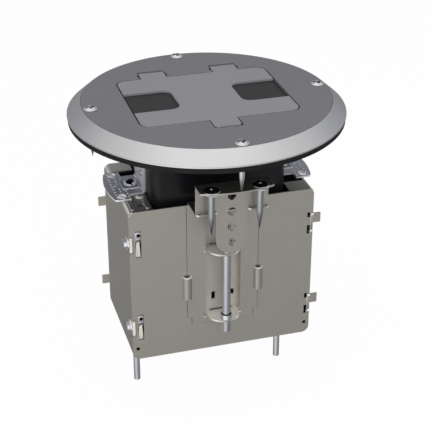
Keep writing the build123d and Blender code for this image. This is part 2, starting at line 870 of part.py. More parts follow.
def make_wall(tab_shift):
    """Front wall: window for the rod channel, screw slots at the left, locking tabs at the right."""
    outline = box_outline() - channel_outline(seam_gap, seam_foot_gap)
    for drop in panel_screw_drops:
        z = box_top_z - drop
        notch_z = (z - corner_notch_height / 2, z + corner_notch_height / 2)
        outline -= panel((-half_length - 1, -half_length + corner_notch_depth), notch_z)
        slot_x = -half_length + sight_slot_inset
        slot_z = (z - sight_slot_height / 2, z + sight_slot_height / 2)
        outline -= panel((slot_x - sight_slot_width / 2, slot_x + sight_slot_width / 2), slot_z)
    for drop in tab_drops:
        z = box_top_z - drop - tab_shift
        half = tab_plate_height / 2
        outline += panel((half_length - 1, half_length + tab_plate_reach), (z - half, z + half))
        slot_x = half_length - tab_slot_inset
        slot = (slot_x - tab_slot_width / 2, slot_x + tab_slot_width / 2)
        upper_z, lower_z = z + upper_tab_slot_rise, z - lower_tab_slot_drop
        upper_half, lower_half = upper_tab_slot_height / 2, lower_tab_slot_height / 2
        outline -= panel(slot, (upper_z - upper_half, upper_z + upper_half))
        outline -= panel(slot, (lower_z - lower_half, lower_z + lower_half))
    for side in sides:
        x = side * (half_length - corner_hole_inset)
        z = box_bottom_z + corner_hole_rise
        outline -= Pos(x, z) * Rectangle(corner_hole_size, corner_hole_size)
    wall = upright(outline, (-half_width, -wall_inside_y))
    strip_x = half_length - tab_strip_inset
    for drop in tab_drops:
        z = box_top_z - drop - tab_shift - tab_strip_drop
        wall += block(
            (strip_x - tab_strip_width, strip_x),
            (-half_width - tab_strip_thickness, -half_width + sheet / 2),
            (z - tab_strip_height / 2, z + tab_strip_height / 2),
        )
    flange_x = -half_length + sheet + sheet_gap + return_flange_inset
    low = box_bottom_z + corner_hole_rise + corner_hole_size
    flange = block(
        (flange_x, flange_x + sheet),
        (-wall_inside_y - sheet / 2, -wall_inside_y + return_flange_width),
        (low, box_top_z - box_top_chamfer - sheet),
    )
    flange -= panel_screw_bores(panel_screw_radius)
    for drop in panel_screw_drops:
        z = box_top_z - drop
        cut = (z - corner_notch_height / 2, z + corner_notch_height / 2)
        flange -= block((-half_length, -half_length + 10), (-half_width, -wall_inside_y), cut)
    return wall + flange


def panel_screw_bores(radius):
    """Bores for the side panel screws near the front left corner."""
    bores = None
    y = -wall_inside_y + panel_screw_inset
    for drop in panel_screw_drops:
        x = (-half_length - 2, -half_length + 20)
        bore = lying_rod(radius, x, y, box_top_z - drop)
        bores = bore if bores is None else bores + bore
    return bores


def make_side_panel():
    """Left side panel: folded at the top and bottom, with a gap for the levelling screw."""
    outer = panel((-half_length, half_length), (box_bottom_z, box_top_z))
    outer = fillet(outer.vertices().sort_by(Axis.Y)[:2], box_bottom_radius)
    outer = fillet(outer.vertices().sort_by(Axis.Y)[-2:], box_top_chamfer)
    section = outer - offset(outer, amount=-sheet)
    middle_z = (box_bottom_z + box_top_z) / 2
    keep = panel((-half_length - 1, -top_flange_edge_x), (middle_z, box_top_z + 1))
    keep += panel((-half_length - 1, -bottom_flange_edge_x), (box_bottom_z - 1, middle_z))
    shell = upright(section & keep, (-panel_half_width, panel_half_width))
    gap_y = (-panel_half_width + long_flange_reach, panel_half_width - short_flange_reach)
    fold_x = -half_length + box_top_chamfer
    shell -= block((fold_x, 0), gap_y, (box_top_z - 5, box_top_z + 1))
    rib_middle_y = -panel_half_width + long_flange_reach / 2 - 6
    for x in (-top_flange_edge_x - rib_width - 1, fold_x - 0.4 + rib_width / 2):
        rib = Pos(x, rib_middle_y) * Rot(0, 0, 90) * SlotOverall(rib_length, rib_width)
        raised = prism(rib, (box_top_z - 0.2, box_top_z + rib_height))
        top_edges = raised.edges().group_by(Axis.Z)[-1]
        shell += fillet(top_edges, rib_height * 0.6)
    middle_x = (fold_x - top_flange_edge_x) / 2
    oval = Pos(middle_x, -panel_half_width + 11) * SlotOverall(oval_hole_length, oval_hole_width)
    shell -= prism(oval, (box_top_z - 3, box_top_z + 1))
    boss_y = -panel_half_width + long_flange_reach - ear_clear_of_boss()
    boss_x = -top_flange_edge_x - boss_radius - 1.5
    shell += Pos(boss_x, boss_y, box_top_z + boss_height / 2 - 0.1) * Cone(
        boss_radius, boss_radius * 0.55, boss_height + 0.2
    )
    shell -= panel_screw_bores(panel_screw_radius + 0.2)
    square = Pos(-panel_half_width + panel_hole_inset, box_bottom_z + panel_hole_rise) * Rectangle(
        corner_hole_size, corner_hole_size
    )
    return shell - sideways(square, (-half_length - 1, -half_length + sheet + 1))


def ear_clear_of_boss():
    """Distance from the end of the long flange back to the boss, clear of the ear."""
    flange_end = -panel_half_width + long_flange_reach
    ear_edge = -ear_inner_width / 2
    return flange_end - ear_edge + boss_radius + 0.8


def make_panel_screws():
    """Large pan-head screws of both side panels."""
    y = -wall_inside_y + panel_screw_inset
    screws = []
    for drop in panel_screw_drops:
        profile = [
            (0, -panel_screw_length),
            (panel_screw_radius, -panel_screw_length),
            (panel_screw_radius, 0),
            (panel_head_radius, 0),
            (panel_head_radius, panel_head_height * 0.4),
            (panel_head_radius * 0.7, panel_head_height * 0.9),
            (0, panel_head_height),
        ]
        screw = Pos(-half_length, y, box_top_z - drop) * Rot(0, -90, 0) * turned(profile)
        screws += [screw, half_turn(screw)]
    return several(screws)


def make_panel_clips():
    """Folded clips between side panel and wall flange, their curl showing in the corner notch."""
    x = -half_length + sheet + sheet_gap / 2
    leg_x = (x, x + return_flange_inset)
    clips = []
    for drop in panel_screw_drops:
        z = box_top_z - drop
        height = (z - corner_notch_height / 2 + 1.2, z + corner_notch_height / 2 - 1.2)
        leg_y = (-wall_inside_y - 0.6, -wall_inside_y + return_flange_width)
        clip = block(leg_x, leg_y, height)
        curl_x = -half_length + clip_curl_gap + clip_curl_radius
        clip += disc(clip_curl_radius, height, curl_x, -wall_inside_y - clip_curl_radius)
        clip -= lying_rod(panel_screw_radius, (x - 2, x + 4), -wall_inside_y + panel_screw_inset, z)
        clips += [clip, half_turn(clip)]
    return several(clips)


def make_floor_panel():
    """Bottom of the box with upturned edges, knockouts and holes for the levelling screws."""
    half_x = half_length - box_bottom_radius
    z = (floor_panel_top_z - sheet, floor_panel_top_z)
    floor = block((-half_x, half_x), (-panel_half_width, panel_half_width), z)
    for side in sides:
        y = sorted((side * panel_half_width, side * (panel_half_width - sheet)))
        floor += block((-half_x, half_x), y, (z[0], z[1] + floor_edge_height))
        hole_radius = levelling_screw_radius + 0.5
        floor -= disc(hole_radius, (z[0] - 1, z[1] + 1), side * levelling_screw_x)
        for end in sides:
            for radius in knockout_radii:
                groove = disc(radius, (z[0] - 1, z[0] + knockout_groove_depth))
                core = radius - knockout_groove_width
                groove -= disc(core, (z[0] - 2, z[1] + 1))
                floor -= Pos(side * knockout_x, end * knockout_y) * groove
    floor -= disc(small_screw_radius, (z[0] - 1, z[1] + 1), ground_screw_x, ground_screw_y)
    return floor


def make_rod_channel():
    """Front rod channel: a trough with two D-shaped shelves that carry the height rod."""
    half, trough = channel_width / 2, trough_width / 2
    floor_y = -half_width + trough_depth
    front = [(-half, -half_width), (-trough, -half_width), (-trough, floor_y)]
    front += [(trough, floor_y), (trough, -half_width), (half, -half_width)]
    section = folded_strip(front, sheet, floor_y + 20, (-half, half))
    plate = prism(section, (lower_shelf_z, box_top_z))
    foot_z = (box_top_z - channel_drop, lower_shelf_z)
    plate += block((-half, half), (-half_width, -wall_inside_y), foot_z)
    plate &= upright(channel_outline(0, 0), (-half_width - 1, floor_y + sheet + 1))
    for z in (upper_shelf_z, lower_shelf_z):
        plate += prism(shelf_outline(), (z - sheet, z))
        for side in sides:
            relief = Pos(side * (trough + sheet / 2), z - sheet / 2) * Circle(shelf_relief_radius)
            plate -= upright(relief, (-half_width - 1, -wall_inside_y))
    groove_z = (lower_shelf_z + 3, upper_shelf_z - sheet - 3)
    groove_x = (-trough_groove_width / 2, trough_groove_width / 2)
    plate -= block(groove_x, (floor_y - 1, floor_y + trough_groove_depth), groove_z)
    slots = (
        (-left_trough_slot_x, left_trough_slot_rise, left_trough_slot_height),
        (right_trough_slot_x, right_trough_slot_rise, right_trough_slot_height),
    )
    for x, rise, height in slots:
        slot = Pos(x, lower_shelf_z + rise) * Rectangle(trough_slot_width, height)
        plate -= upright(slot, (floor_y - 1, floor_y + sheet + 1))
    for z in (upper_shelf_z, lower_shelf_z):
        slit_x = (-shelf_slit_width / 2, shelf_slit_width / 2)
        plate -= block(slit_x, (floor_y - 1, floor_y + sheet + 1), (z, z + shelf_slit_height))
    bore = disc(rod_radius + thread_clearance, (lower_shelf_z - 5, upper_shelf_z + 1), 0, rod_y)
    return plate - bore


def shelf_outline():
    """Plan of a shelf: a rounded front and a straight back inside the trough."""
    back = -half_width + trough_depth + 0.2
    half = trough_width / 2 - shelf_side_gap
    centre_y = -half_width - shelf_centre_setback
    straight = panel((-half, half), (centre_y, back))
    front = panel((-half, half), (centre_y - half - 1, centre_y))
    return straight + (Pos(0, centre_y) * Circle(half) & front)


def make_seam_loops():
    """Half-round bridges across the seams beside the front and back rod channels."""
    z = (box_top_z - loop_drop - loop_height, box_top_z - loop_drop)
    loops = []
    for side in sides:
        x = side * (channel_width + seam_gap) / 2
        loop = disc(loop_radius, z, x, -half_width)
        loop -= disc(loop_radius - loop_thickness, (z[0] - 1, z[1] + 1), x, -half_width)
        loop -= block((x - 10, x + 10), (-half_width, 0), (z[0] - 1, z[1] + 1))
        loops += [loop, half_turn(loop)]
    return several(loops)


def make_floor_bracket():
    """Front floor bracket: arc-edged flange, web with lips and a long tongue with holes."""
    half = bracket_width / 2
    web_y = (web_front_y, web_front_y + sheet)
    flange = Circle(bracket_flange_radius) & panel(
        (-half, half), (-bracket_flange_radius - 1, web_y[1])
    )
    flange_z = (bracket_flange_z - sheet, bracket_flange_z)
    bracket = prism(flange, flange_z)
    bracket += block((-half, half), web_y, (bracket_web_bottom_z, flange_z[1]))
    lip = panel((tongue_width / 2, half), (web_front_y - web_lip_reach, web_y[1]))
    lip = chamfer(lip.vertices().sort_by(Axis.Y)[:2], web_lip_chamfer)
    lip_z = (bracket_web_bottom_z, bracket_web_bottom_z + sheet)
    bracket += prism(lip, lip_z) + mirror(prism(lip, lip_z), about=Plane.YZ)
    tongue_half = tongue_width / 2
    tongue_z = bracket_flange_z - tongue_drop
    tongue = panel((-tongue_half, tongue_half), (tongue_z + tongue_half, bracket_web_bottom_z))
    tongue += Pos(0, tongue_z + tongue_half) * Circle(tongue_half)
    bracket += upright(tongue, web_y)
    holes = Pos(0, tongue_z + tongue_hole_rise) * Circle(tongue_hole_radius)
    for step in range(1, 4):
        place = tongue_z + tongue_hole_rise + step * tongue_hole_pitch
        holes += Pos(0, place) * Circle(tongue_hole_radius)
    bracket -= upright(holes, (web_y[0] - 1, web_y[1] + 1))
    for x, y in bracket_screw_places():
        bracket += Pos(x, y, flange_z[0] - dimple_depth / 2) * Cone(
            bracket_screw_radius + wood_screw_hole_clearance + dimple_wall,
            bracket_head_radius + dimple_wall,
            dimple_depth,
        )
        bracket -= bracket_screw_seat(x, y)
    return bracket


def bracket_screw_places():
    """Two screws in the flange of the front bracket."""
    half = bracket_screw_spacing / 2
    y = web_front_y - bracket_screw_setback
    return [(-half, y), (half, y)]


def bracket_screw_seat(x, y):
    """Countersunk hole in the flange, as deep as the dimple."""
    depth = dimple_depth + sheet
    hole = bracket_screw_radius + wood_screw_hole_clearance
    seat = Pos(x, y, bracket_flange_z - depth / 2) * Cone(
        hole, bracket_head_radius + 0.2, depth
    )
    return seat + disc(hole, (bracket_flange_z - 20, bracket_flange_z), x, y)


def make_bracket_screws():
    """Wood screws with domed countersunk heads in the dimples of the front bracket."""
    depth = dimple_depth + sheet
    screws = []
    for x, y in bracket_screw_places():
        z = bracket_flange_z
        profile = [
            (0, z - bracket_screw_length),
            (bracket_screw_radius, z - bracket_screw_length + bracket_screw_tip),
            (bracket_screw_radius, z - depth),
            (bracket_head_radius, z),
            (bracket_head_radius * 0.6, z + bracket_head_dome * 0.8),
            (0, z + bracket_head_dome),
        ]
        screws.append(turned(profile, x, y))
    return several(screws)


def make_lift_plate():
    """Plate under the front bracket's web: it runs on the rod and its key slides in the trough."""
    half = bracket_width / 2
    z = (bracket_web_bottom_z - sheet, bracket_web_bottom_z)
    outline = panel((-half, half), (web_front_y, -half_width - 0.5))
    tongue_half = tongue_width / 2 + 0.2
    outline -= panel((-tongue_half, tongue_half), (web_front_y - 1, web_front_y + sheet + 0.1))
    key_half = trough_width / 2 - lift_key_clearance
    outline += panel((-key_half, key_half), (-half_width - 1, -half_width + lift_key_reach))
    plate = prism(outline, z)
    boss_z = (z[1] - 0.2, z[1] + lift_boss_height)
    plate += disc(lift_boss_radius, boss_z, 0, rod_y)
    return plate - disc(rod_radius + thread_clearance, (z[0] - 1, boss_z[1] + 1), 0, rod_y)


def make_height_rod():
    """Front height rod: a long screw through the lift plate and both shelves."""
    bottom = lower_shelf_z - rod_below_shelf
    profile = [
        (0, bottom),
        (rod_radius - 0.6, bottom),
        (rod_radius, bottom + 0.8),
        (rod_radius, rod_top_z - 0.8),
        (rod_radius - 0.6, rod_top_z),
        (0, rod_top_z),
    ]
    rod = turned(profile, 0, rod_y)
    slot = block((-rod_radius, rod_radius), (rod_y - 0.6, rod_y + 0.6), (rod_top_z - 2, rod_top_z + 1))
    return rod - slot


def make_rod_collar():
    """Collar that carries the front height rod on the lower shelf."""
    z = lower_shelf_z
    top_radius = (collar_radius + rod_radius) / 2 - 0.1
    profile = [
        (rod_radius, z),
        (collar_radius, z),
        (collar_radius, z + collar_rim),
        (top_radius, z + collar_height),
        (rod_radius, z + collar_height),
    ]
    return turned(profile, 0, rod_y)


def make_device_plate():
    """Plate across the box that carries the outlets, notched round the two rod channels."""
    half = device_plate_length / 2
    z = (device_plate_z - sheet, device_plate_z)
    plate = block((-half, half), (-panel_half_width, panel_half_width), z)
    for side in sides:
        y = sorted((side * panel_half_width, side * (panel_half_width - sheet)))
        plate += block((-half, half), y, (z[1] - device_flange_height, z[1]))
    notch_half = trough_width / 2 + sheet + 1
    for side in sides:
        y = sorted((side * (half_width - trough_depth - sheet - 1), side * half_width))
        plate -= block((-notch_half, notch_half), y, (z[0] - 20, z[1] + 1))
    window_x = device_body_length / 2 + device_window_gap
    for side in sides:
        middle = side * device_setback
        window_y = device_body_width / 2 + device_window_gap
        y = (middle - window_y, middle + window_y)
        plate -= block((-window_x, window_x), y, (z[0] - 1, z[1] + 1))
        for x in device_screw_xs():
            plate -= disc(device_screw_radius, (z[0] - 1, z[1] + 1), x, middle)
    return plate


def device_screw_xs():
    """Places along X of the screws at the ends of each yoke."""
    return [side * device_screw_spacing / 2 for side in sides]


def make_yokes():
    """Metal straps that hold the outlet and the data frame on the device plate."""
    z = (device_plate_z, device_plate_z + yoke_thickness)
    half = yoke_length / 2
    yokes = []
    for side in sides:
        middle = side * device_setback
        y = (middle - yoke_width / 2, middle + yoke_width / 2)
        yoke = prism(panel((-half, half), y, 3), z)
        body = device_body_length / 2 + 0.1
        yoke -= block((-body, body), (y[0] - 1, y[1] + 1), (z[0] - 1, z[1] + 1))
        for x in device_screw_xs():
            yoke -= disc(device_screw_radius, (z[0] - 1, z[1] + 1), x, middle)
        yokes.append(yoke)
    return several(yokes)


def make_device_screws():
    """Screws at the ends of the yokes."""
    top = device_plate_z + yoke_thickness
    screws = []
    for side in sides:
        for x in device_screw_xs():
            screws.append(small_pan_screw(x, side * device_setback, top, device_screw_length))
    return several(screws)


def make_power_receptacle():
    """Duplex outlet facing up, with two round faces, blade slots and earth holes."""
    half_x, half_y = device_body_length / 2, device_body_width / 2
    middle = device_setback
    y = (middle - half_y, middle + half_y)
    top = device_plate_z + yoke_thickness
    body = block((-half_x, half_x), y, (top - device_body_depth, top))
    face_top = top + device_face_height
    for side in sides:
        x = side * outlet_spacing / 2
        face = (Pos(x, middle) * Circle(outlet_radius)) & panel((-half_x, half_x), y)
        body += prism(face, (top - 1, face_top))
        slot_z = (face_top - outlet_slot_depth, face_top + 1)
        for end, length in zip(sides, (6.6, 8.2)):
            slot_y = middle + end * outlet_blade_spacing / 2
            slot = Pos(x - 3, slot_y) * Rectangle(length, 1.9)
            body -= prism(slot, slot_z)
        body -= disc(2.4, slot_z, x + 8, middle)
    return body


def make_data_frame():
    """Frame for the data jacks, with one opening for each jack."""
    half_x, half_y = device_body_length / 2, device_body_width / 2
    middle = -device_setback
    top = device_plate_z + yoke_thickness
    y = (middle - half_y, middle + half_y)
    frame = block((-half_x, half_x), y, (top - device_body_depth / 2, top + device_face_height / 2))
    for x in jack_places():
        hole_x = (x - jack_width / 2 - 0.1, x + jack_width / 2 + 0.1)
        hole_y = (middle - jack_length / 2 - 0.1, middle + jack_length / 2 + 0.1)
        frame -= block(hole_x, hole_y, (top - device_body_depth, top + device_face_height))
    return frame


def jack_places():
    """Middles of the data jacks along X."""
    return [(index - (jack_count - 1) / 2) * jack_pitch for index in range(jack_count)]


def make_data_jacks():
    """Data jacks, each with a stepped port that faces up."""
    middle = -device_setback
    top = device_plate_z + yoke_thickness + device_face_height / 2
    jacks = []
    for x in jack_places():
        jack_x = (x - jack_width / 2, x + jack_width / 2)
        jack_y = (middle - jack_length / 2, middle + jack_length / 2)
        jack = block(jack_x, jack_y, (top - jack_height, top))
        port_z = (top - port_depth, top + 1)
        port_x = (x - port_width / 2, x + port_width / 2)
        jack -= block(port_x, (middle - port_length / 2, middle + port_length / 2), port_z)
        key_x = (x - port_width / 4, x + port_width / 4)
        jack -= block(key_x, (middle, middle + port_length / 2 + 2.4), port_z)
        jacks.append(jack)
    return several(jacks)


def make_divider():
    """Steel wall between the power and data wiring."""
    half = divider_length / 2
    y = (-divider_thickness / 2, divider_thickness / 2)
    top = device_plate_z - sheet
    wall = block((-half, half), y, (floor_panel_top_z, top))
    foot_x = (-half, -half + divider_foot_length)
    foot_y = (y[0], y[1] + divider_foot_width)
    foot_z = (floor_panel_top_z, floor_panel_top_z + divider_thickness)
    return wall + block(foot_x, foot_y, foot_z)


def make_ground_screw():
    """Earth screw in the floor of the box, with a cup washer."""
    z = floor_panel_top_z
    screw = small_pan_screw(ground_screw_x, ground_screw_y, z + 1.2, 4.0)
    return screw + disc(small_head_radius + 1.2, (z, z + 1.3), ground_screw_x, ground_screw_y)


front_wall = make_wall(0)
back_wall = half_turn(make_wall(8.0))
left_panel = make_side_panel()
front_channel = make_rod_channel()
front_bracket = make_floor_bracket()
front_bracket_screws = make_bracket_screws()
front_lift_plate = make_lift_plate()
front_rod = make_height_rod()
front_collar = make_rod_collar()
left_ear = make_ear()
left_levelling_screw = make_levelling_screw()
left_clip = make_levelling_clip()
left_door = make_cable_door()

parts = {
    "trim_ring": make_trim_ring(),
    "floor_gasket": make_floor_gasket(),
    "cover_plate": make_cover_plate(),
    "ring_screws": make_ring_screws(),
    "seat_frame": make_seat_frame(),
    "frame_screws": make_frame_screws(),
    "hinge_pins": make_hinge_pins(),
    "neck": make_neck(),
    "neck_screws": make_neck_screws(),
    "ear_left": left_ear,
    "ear_right": half_turn(left_ear),
    "ear_screws": make_ear_screws(),
    "lid": make_lid(),
    "door_guide": make_door_guide(),
    "guide_screws": make_guide_screws(),
    "cable_door_left": left_door,
    "cable_door_right": mirror(left_door, about=Plane.YZ),
    "levelling_screw_left": left_levelling_screw,
    "levelling_screw_right": half_turn(left_levelling_screw),
    "levelling_clip_left": left_clip,
    "levelling_clip_right": half_turn(left_clip),
    "levelling_nuts": make_levelling_nuts(),
    "front_wall": front_wall,
    "back_wall": back_wall,
    "side_panel_left": left_panel,
    "side_panel_right": half_turn(left_panel),
    "floor_panel": make_floor_panel(),
    "rod_channel_front": front_channel,
    "rod_channel_back": half_turn(front_channel),
    "seam_loops": make_seam_loops(),
    "panel_screws": make_panel_screws(),
    "panel_clips": make_panel_clips(),
    "floor_bracket_front": front_bracket,
    "floor_bracket_back": half_turn(front_bracket),
    "bracket_screws_front": front_bracket_screws,
    "bracket_screws_back": half_turn(front_bracket_screws),
    "lift_plate_front": front_lift_plate,
    "lift_plate_back": half_turn(front_lift_plate),
    "height_rod_front": front_rod,
    "height_rod_back": half_turn(front_rod),
    "rod_collar_front": front_collar,
    "rod_collar_back": half_turn(front_collar),
    "device_plate": make_device_plate(),
    "yokes": make_yokes(),
    "device_screws": make_device_screws(),
    "power_receptacle": make_power_receptacle(),
    "data_frame": make_data_frame(),
    "data_jacks": make_data_jacks(),
    "divider": make_divider(),
    "ground_screw": make_ground_screw(),
}

for name, shape in parts.items():
    export_step(shape, f"parts/{name}.step")
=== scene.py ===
"""Finishes and fine detail of a floor socket box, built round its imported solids."""

import json
import math

import bpy
from mathutils import Matrix, Vector

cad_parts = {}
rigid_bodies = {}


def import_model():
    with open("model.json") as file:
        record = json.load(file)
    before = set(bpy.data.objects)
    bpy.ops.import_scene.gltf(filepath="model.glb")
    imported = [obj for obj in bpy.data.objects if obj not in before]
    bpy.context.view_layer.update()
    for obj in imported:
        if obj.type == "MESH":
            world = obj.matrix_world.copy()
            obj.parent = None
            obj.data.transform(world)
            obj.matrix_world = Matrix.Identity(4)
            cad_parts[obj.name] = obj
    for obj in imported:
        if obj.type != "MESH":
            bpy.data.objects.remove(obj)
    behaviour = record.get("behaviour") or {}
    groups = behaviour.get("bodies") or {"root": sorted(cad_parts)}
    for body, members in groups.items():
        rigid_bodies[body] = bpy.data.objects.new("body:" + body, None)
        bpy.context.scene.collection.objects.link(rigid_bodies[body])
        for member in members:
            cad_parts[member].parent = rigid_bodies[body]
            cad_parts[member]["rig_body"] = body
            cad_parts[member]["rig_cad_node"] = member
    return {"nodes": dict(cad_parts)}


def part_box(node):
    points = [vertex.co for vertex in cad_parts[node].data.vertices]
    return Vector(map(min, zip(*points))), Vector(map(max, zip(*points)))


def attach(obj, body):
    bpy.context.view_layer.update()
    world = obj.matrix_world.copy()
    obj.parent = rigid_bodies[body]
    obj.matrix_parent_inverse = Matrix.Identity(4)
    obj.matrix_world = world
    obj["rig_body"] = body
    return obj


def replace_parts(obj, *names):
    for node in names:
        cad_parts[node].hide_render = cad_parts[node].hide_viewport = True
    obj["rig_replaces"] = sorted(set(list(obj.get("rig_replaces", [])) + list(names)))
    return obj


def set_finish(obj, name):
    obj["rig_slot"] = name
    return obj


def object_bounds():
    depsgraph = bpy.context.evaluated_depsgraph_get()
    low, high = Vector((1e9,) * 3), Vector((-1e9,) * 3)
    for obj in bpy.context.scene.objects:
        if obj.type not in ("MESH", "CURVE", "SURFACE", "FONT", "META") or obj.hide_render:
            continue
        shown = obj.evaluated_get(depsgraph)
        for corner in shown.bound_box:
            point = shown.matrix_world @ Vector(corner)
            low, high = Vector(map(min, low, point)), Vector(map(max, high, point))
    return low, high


bl_info = {
    "name": "Floor socket box",
    "version": (1, 0, 0),
    "blender": (4, 5, 0),
    "location": "3D View > Sidebar > Floor box",
    "description": "Dresses the floor socket box in its finishes and fine detail",
    "category": "Object",
}

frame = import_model()
cad_low, cad_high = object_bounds()

MM = 0.001
HALF_TURN = Matrix.Rotation(math.pi, 4, "Z")
SIDES = ("left", "right")
ENDS = ("front", "back")


# Sizes and colours that a user may change


class FloorBoxSizes(bpy.types.PropertyGroup):
    """Sizes of the fine detail."""

    casting_edge: bpy.props.FloatProperty(
        name="Casting edge", description="Rounding of the trim ring's edges",
        default=0.0006, unit="LENGTH",
    )
    plate_edge: bpy.props.FloatProperty(
        name="Plate edge", description="Rounding of the cover plate's and lid's edges",
        default=0.0003, unit="LENGTH",
    )
    sheet_edge: bpy.props.FloatProperty(
        name="Sheet edge", description="Rounding of the sheet steel's edges",
        default=0.00028, unit="LENGTH",
    )
    moulded_edge: bpy.props.FloatProperty(
        name="Moulded edge", description="Rounding of the plastic pieces' edges",
        default=0.0004, unit="LENGTH",
    )
    screw_pitch: bpy.props.FloatProperty(
        name="Screw pitch", description="Thread pitch of the levelling screws",
        default=0.00127, unit="LENGTH",
    )
    rod_pitch: bpy.props.FloatProperty(
        name="Rod pitch", description="Thread pitch of the height rods",
        default=0.001411, unit="LENGTH",
    )
    thread_depth: bpy.props.FloatProperty(
        name="Thread depth", description="Depth of the levelling screws' and height rods' thread",
        default=0.00002, unit="LENGTH",
    )
    dimple_pitch: bpy.props.FloatProperty(
        name="Dimple pitch", description="Distance between the dimples of the ears",
        default=0.0054, unit="LENGTH",
    )
    dimple_radius: bpy.props.FloatProperty(
        name="Dimple radius", description="Radius of one dimple of the ears",
        default=0.00078, unit="LENGTH",
    )


class FloorBoxColours(bpy.types.PropertyGroup):
    """Colours of the finishes."""

    casting: bpy.props.FloatVectorProperty(
        name="Casting", description="Trim ring",
        default=(0.69, 0.680, 0.684), size=3, subtype="COLOR",
    )
    plate: bpy.props.FloatVectorProperty(
        name="Cover plate", description="Powder coat of the cover plate",
        default=(0.142, 0.140, 0.151), size=3, subtype="COLOR",
    )
    lid: bpy.props.FloatVectorProperty(
        name="Lid", description="Powder coat of the lid",
        default=(0.218, 0.215, 0.231), size=3, subtype="COLOR",
    )
    door: bpy.props.FloatVectorProperty(
        name="Cable doors", description="Plastic of the sliding cable doors",
        default=(0.020, 0.020, 0.020), size=3, subtype="COLOR",
    )
    neck: bpy.props.FloatVectorProperty(
        name="Neck", description="Black plastic of the neck and seat frame",
        default=(0.008, 0.0085, 0.010), size=3, subtype="COLOR",
    )
    sheet: bpy.props.FloatVectorProperty(
        name="Sheet steel", description="Zinc-coated sheet of the box",
        default=(0.50, 0.478, 0.436), size=3, subtype="COLOR",
    )
    zinc: bpy.props.FloatVectorProperty(
        name="Zinc plate", description="Bluish zinc plate of the ears",
        default=(0.40, 0.40, 0.445), size=3, subtype="COLOR",
    )
    shank: bpy.props.FloatVectorProperty(
        name="Shank zinc", description="Bluish zinc plate of the screws' shanks and height rods",
        default=(0.44, 0.445, 0.48), size=3, subtype="COLOR",
    )
    bright: bpy.props.FloatVectorProperty(
        name="Bright zinc", description="Heads of the screws",
        default=(0.74, 0.74, 0.77), size=3, subtype="COLOR",
    )


def sizes():
    """The sizes that the scene holds."""
    return bpy.context.scene.floor_box_sizes


def colours():
    """The colours that the scene holds."""
    return bpy.context.scene.floor_box_colours


# Shader building


class Wire:
    """A shader socket that takes part in sums."""

    def __init__(self, finish, socket):
        self.finish = finish
        self.socket = socket

    def _maths(self, operation, first, second):
        return self.finish.node("ShaderNodeMath", {"operation": operation}, {0: first, 1: second})

    def __add__(self, other):
        return self._maths("ADD", self, other)

    __radd__ = __add__

    def __sub__(self, other):
        return self._maths("SUBTRACT", self, other)

    def __rsub__(self, other):
        return self._maths("SUBTRACT", other, self)

    def __mul__(self, other):
        return self._maths("MULTIPLY", self, other)

    __rmul__ = __mul__

    def at_most(self, other):
        return self._maths("MINIMUM", self, other)

    def size(self):
        return self._maths("ABSOLUTE", self, 0.0)

    def at_least(self, other):
        return self._maths("MAXIMUM", self, other)

    def share(self):
        """The value kept between nought and one."""
        return self.at_least(0.0).at_most(1.0)


class Finish:
    """One material, built node by node."""

    def __init__(self, name):
        self.material = bpy.data.materials.new(name)
        self.material.use_nodes = True
        self.tree = self.material.node_tree
        self.tree.nodes.clear()

    def node(self, kind, settings=None, inputs=None, output=0):
        """Add a node, set it up, feed its sockets and return one of its outputs."""
        made = self.tree.nodes.new(kind)
        for key, value in (settings or {}).items():
            if key == "stops":
                self._fill_ramp(made.color_ramp, value)
            else:
                setattr(made, key, value)
        for key, value in (inputs or {}).items():
            if isinstance(value, Wire):
                self.tree.links.new(value.socket, made.inputs[key])
            else:
                made.inputs[key].default_value = value
        return Wire(self, made.outputs[output]) if len(made.outputs) else None

    @staticmethod
    def _fill_ramp(ramp, stops):
        while len(ramp.elements) < len(stops):
            ramp.elements.new(0.5)
        for element, (place, value) in zip(ramp.elements, stops):
            element.position = place
            element.color = (value, value, value, 1) if isinstance(value, float) else (*value, 1)

    def place(self, scale=(1, 1, 1)):
        """Object coordinates in metres, stretched along each axis."""
        spot = self.node("ShaderNodeTexCoord", output=3)
        return self.node("ShaderNodeMapping", None, {"Vector": spot, "Scale": scale})

    def facing(self):
        """The way that the surface faces."""
        return self.node("ShaderNodeNewGeometry", output=1)

    def along(self, vector, axis):
        """One part of a vector."""
        return self.node("ShaderNodeSeparateXYZ", None, {0: vector}, output=axis)

    def bends(self):
        """One where the sheet bends or its edge is rounded, nought on its flat faces."""
        way = self.facing()
        flat = self.along(way, 0).size().at_least(self.along(way, 1).size())
        flat = flat.at_least(self.along(way, 2).size())
        return ((1.0 - flat) * 4.5).share()

    def noise(self, size, detail, stretch=(1, 1, 1)):
        """Noise from 0 to 1 whose blotches are about a size across."""
        inputs = {"Vector": self.place(stretch), "Scale": 1 / size, "Detail": detail}
        return self.node("ShaderNodeTexNoise", None, inputs)

    def ramp(self, value, *stops):
        """A value passed through a ramp of (place, value) stops."""
        return self.node("ShaderNodeValToRGB", {"stops": stops}, {"Fac": value})

    def blend(self, amount, first, second):
        """One colour turning into another."""
        inputs = {0: amount, 6: padded(first), 7: padded(second)}
        return self.node("ShaderNodeMix", {"data_type": "RGBA"}, inputs, output=2)

    def bump(self, height, strength, distance):
        """A normal that follows a height map."""
        inputs = {"Height": height, "Strength": strength, "Distance": distance}
        return self.node("ShaderNodeBump", None, inputs)

    def surface(self, **inputs):
        """Close the material with one principled shader."""
        named = {key.replace("_", " "): value for key, value in inputs.items()}
        shader = self.node("ShaderNodeBsdfPrincipled", None, named)
        self.node("ShaderNodeOutputMaterial", None, {"Surface": shader})
        return self.material


def padded(colour):
    """A colour with its alpha, or a socket as it is."""
    return colour if isinstance(colour, Wire) else (*colour[:3], 1)


def shade(colour, factor):
    """A colour made lighter or darker."""
    return tuple(min(channel * factor, 1.0) for channel in colour)


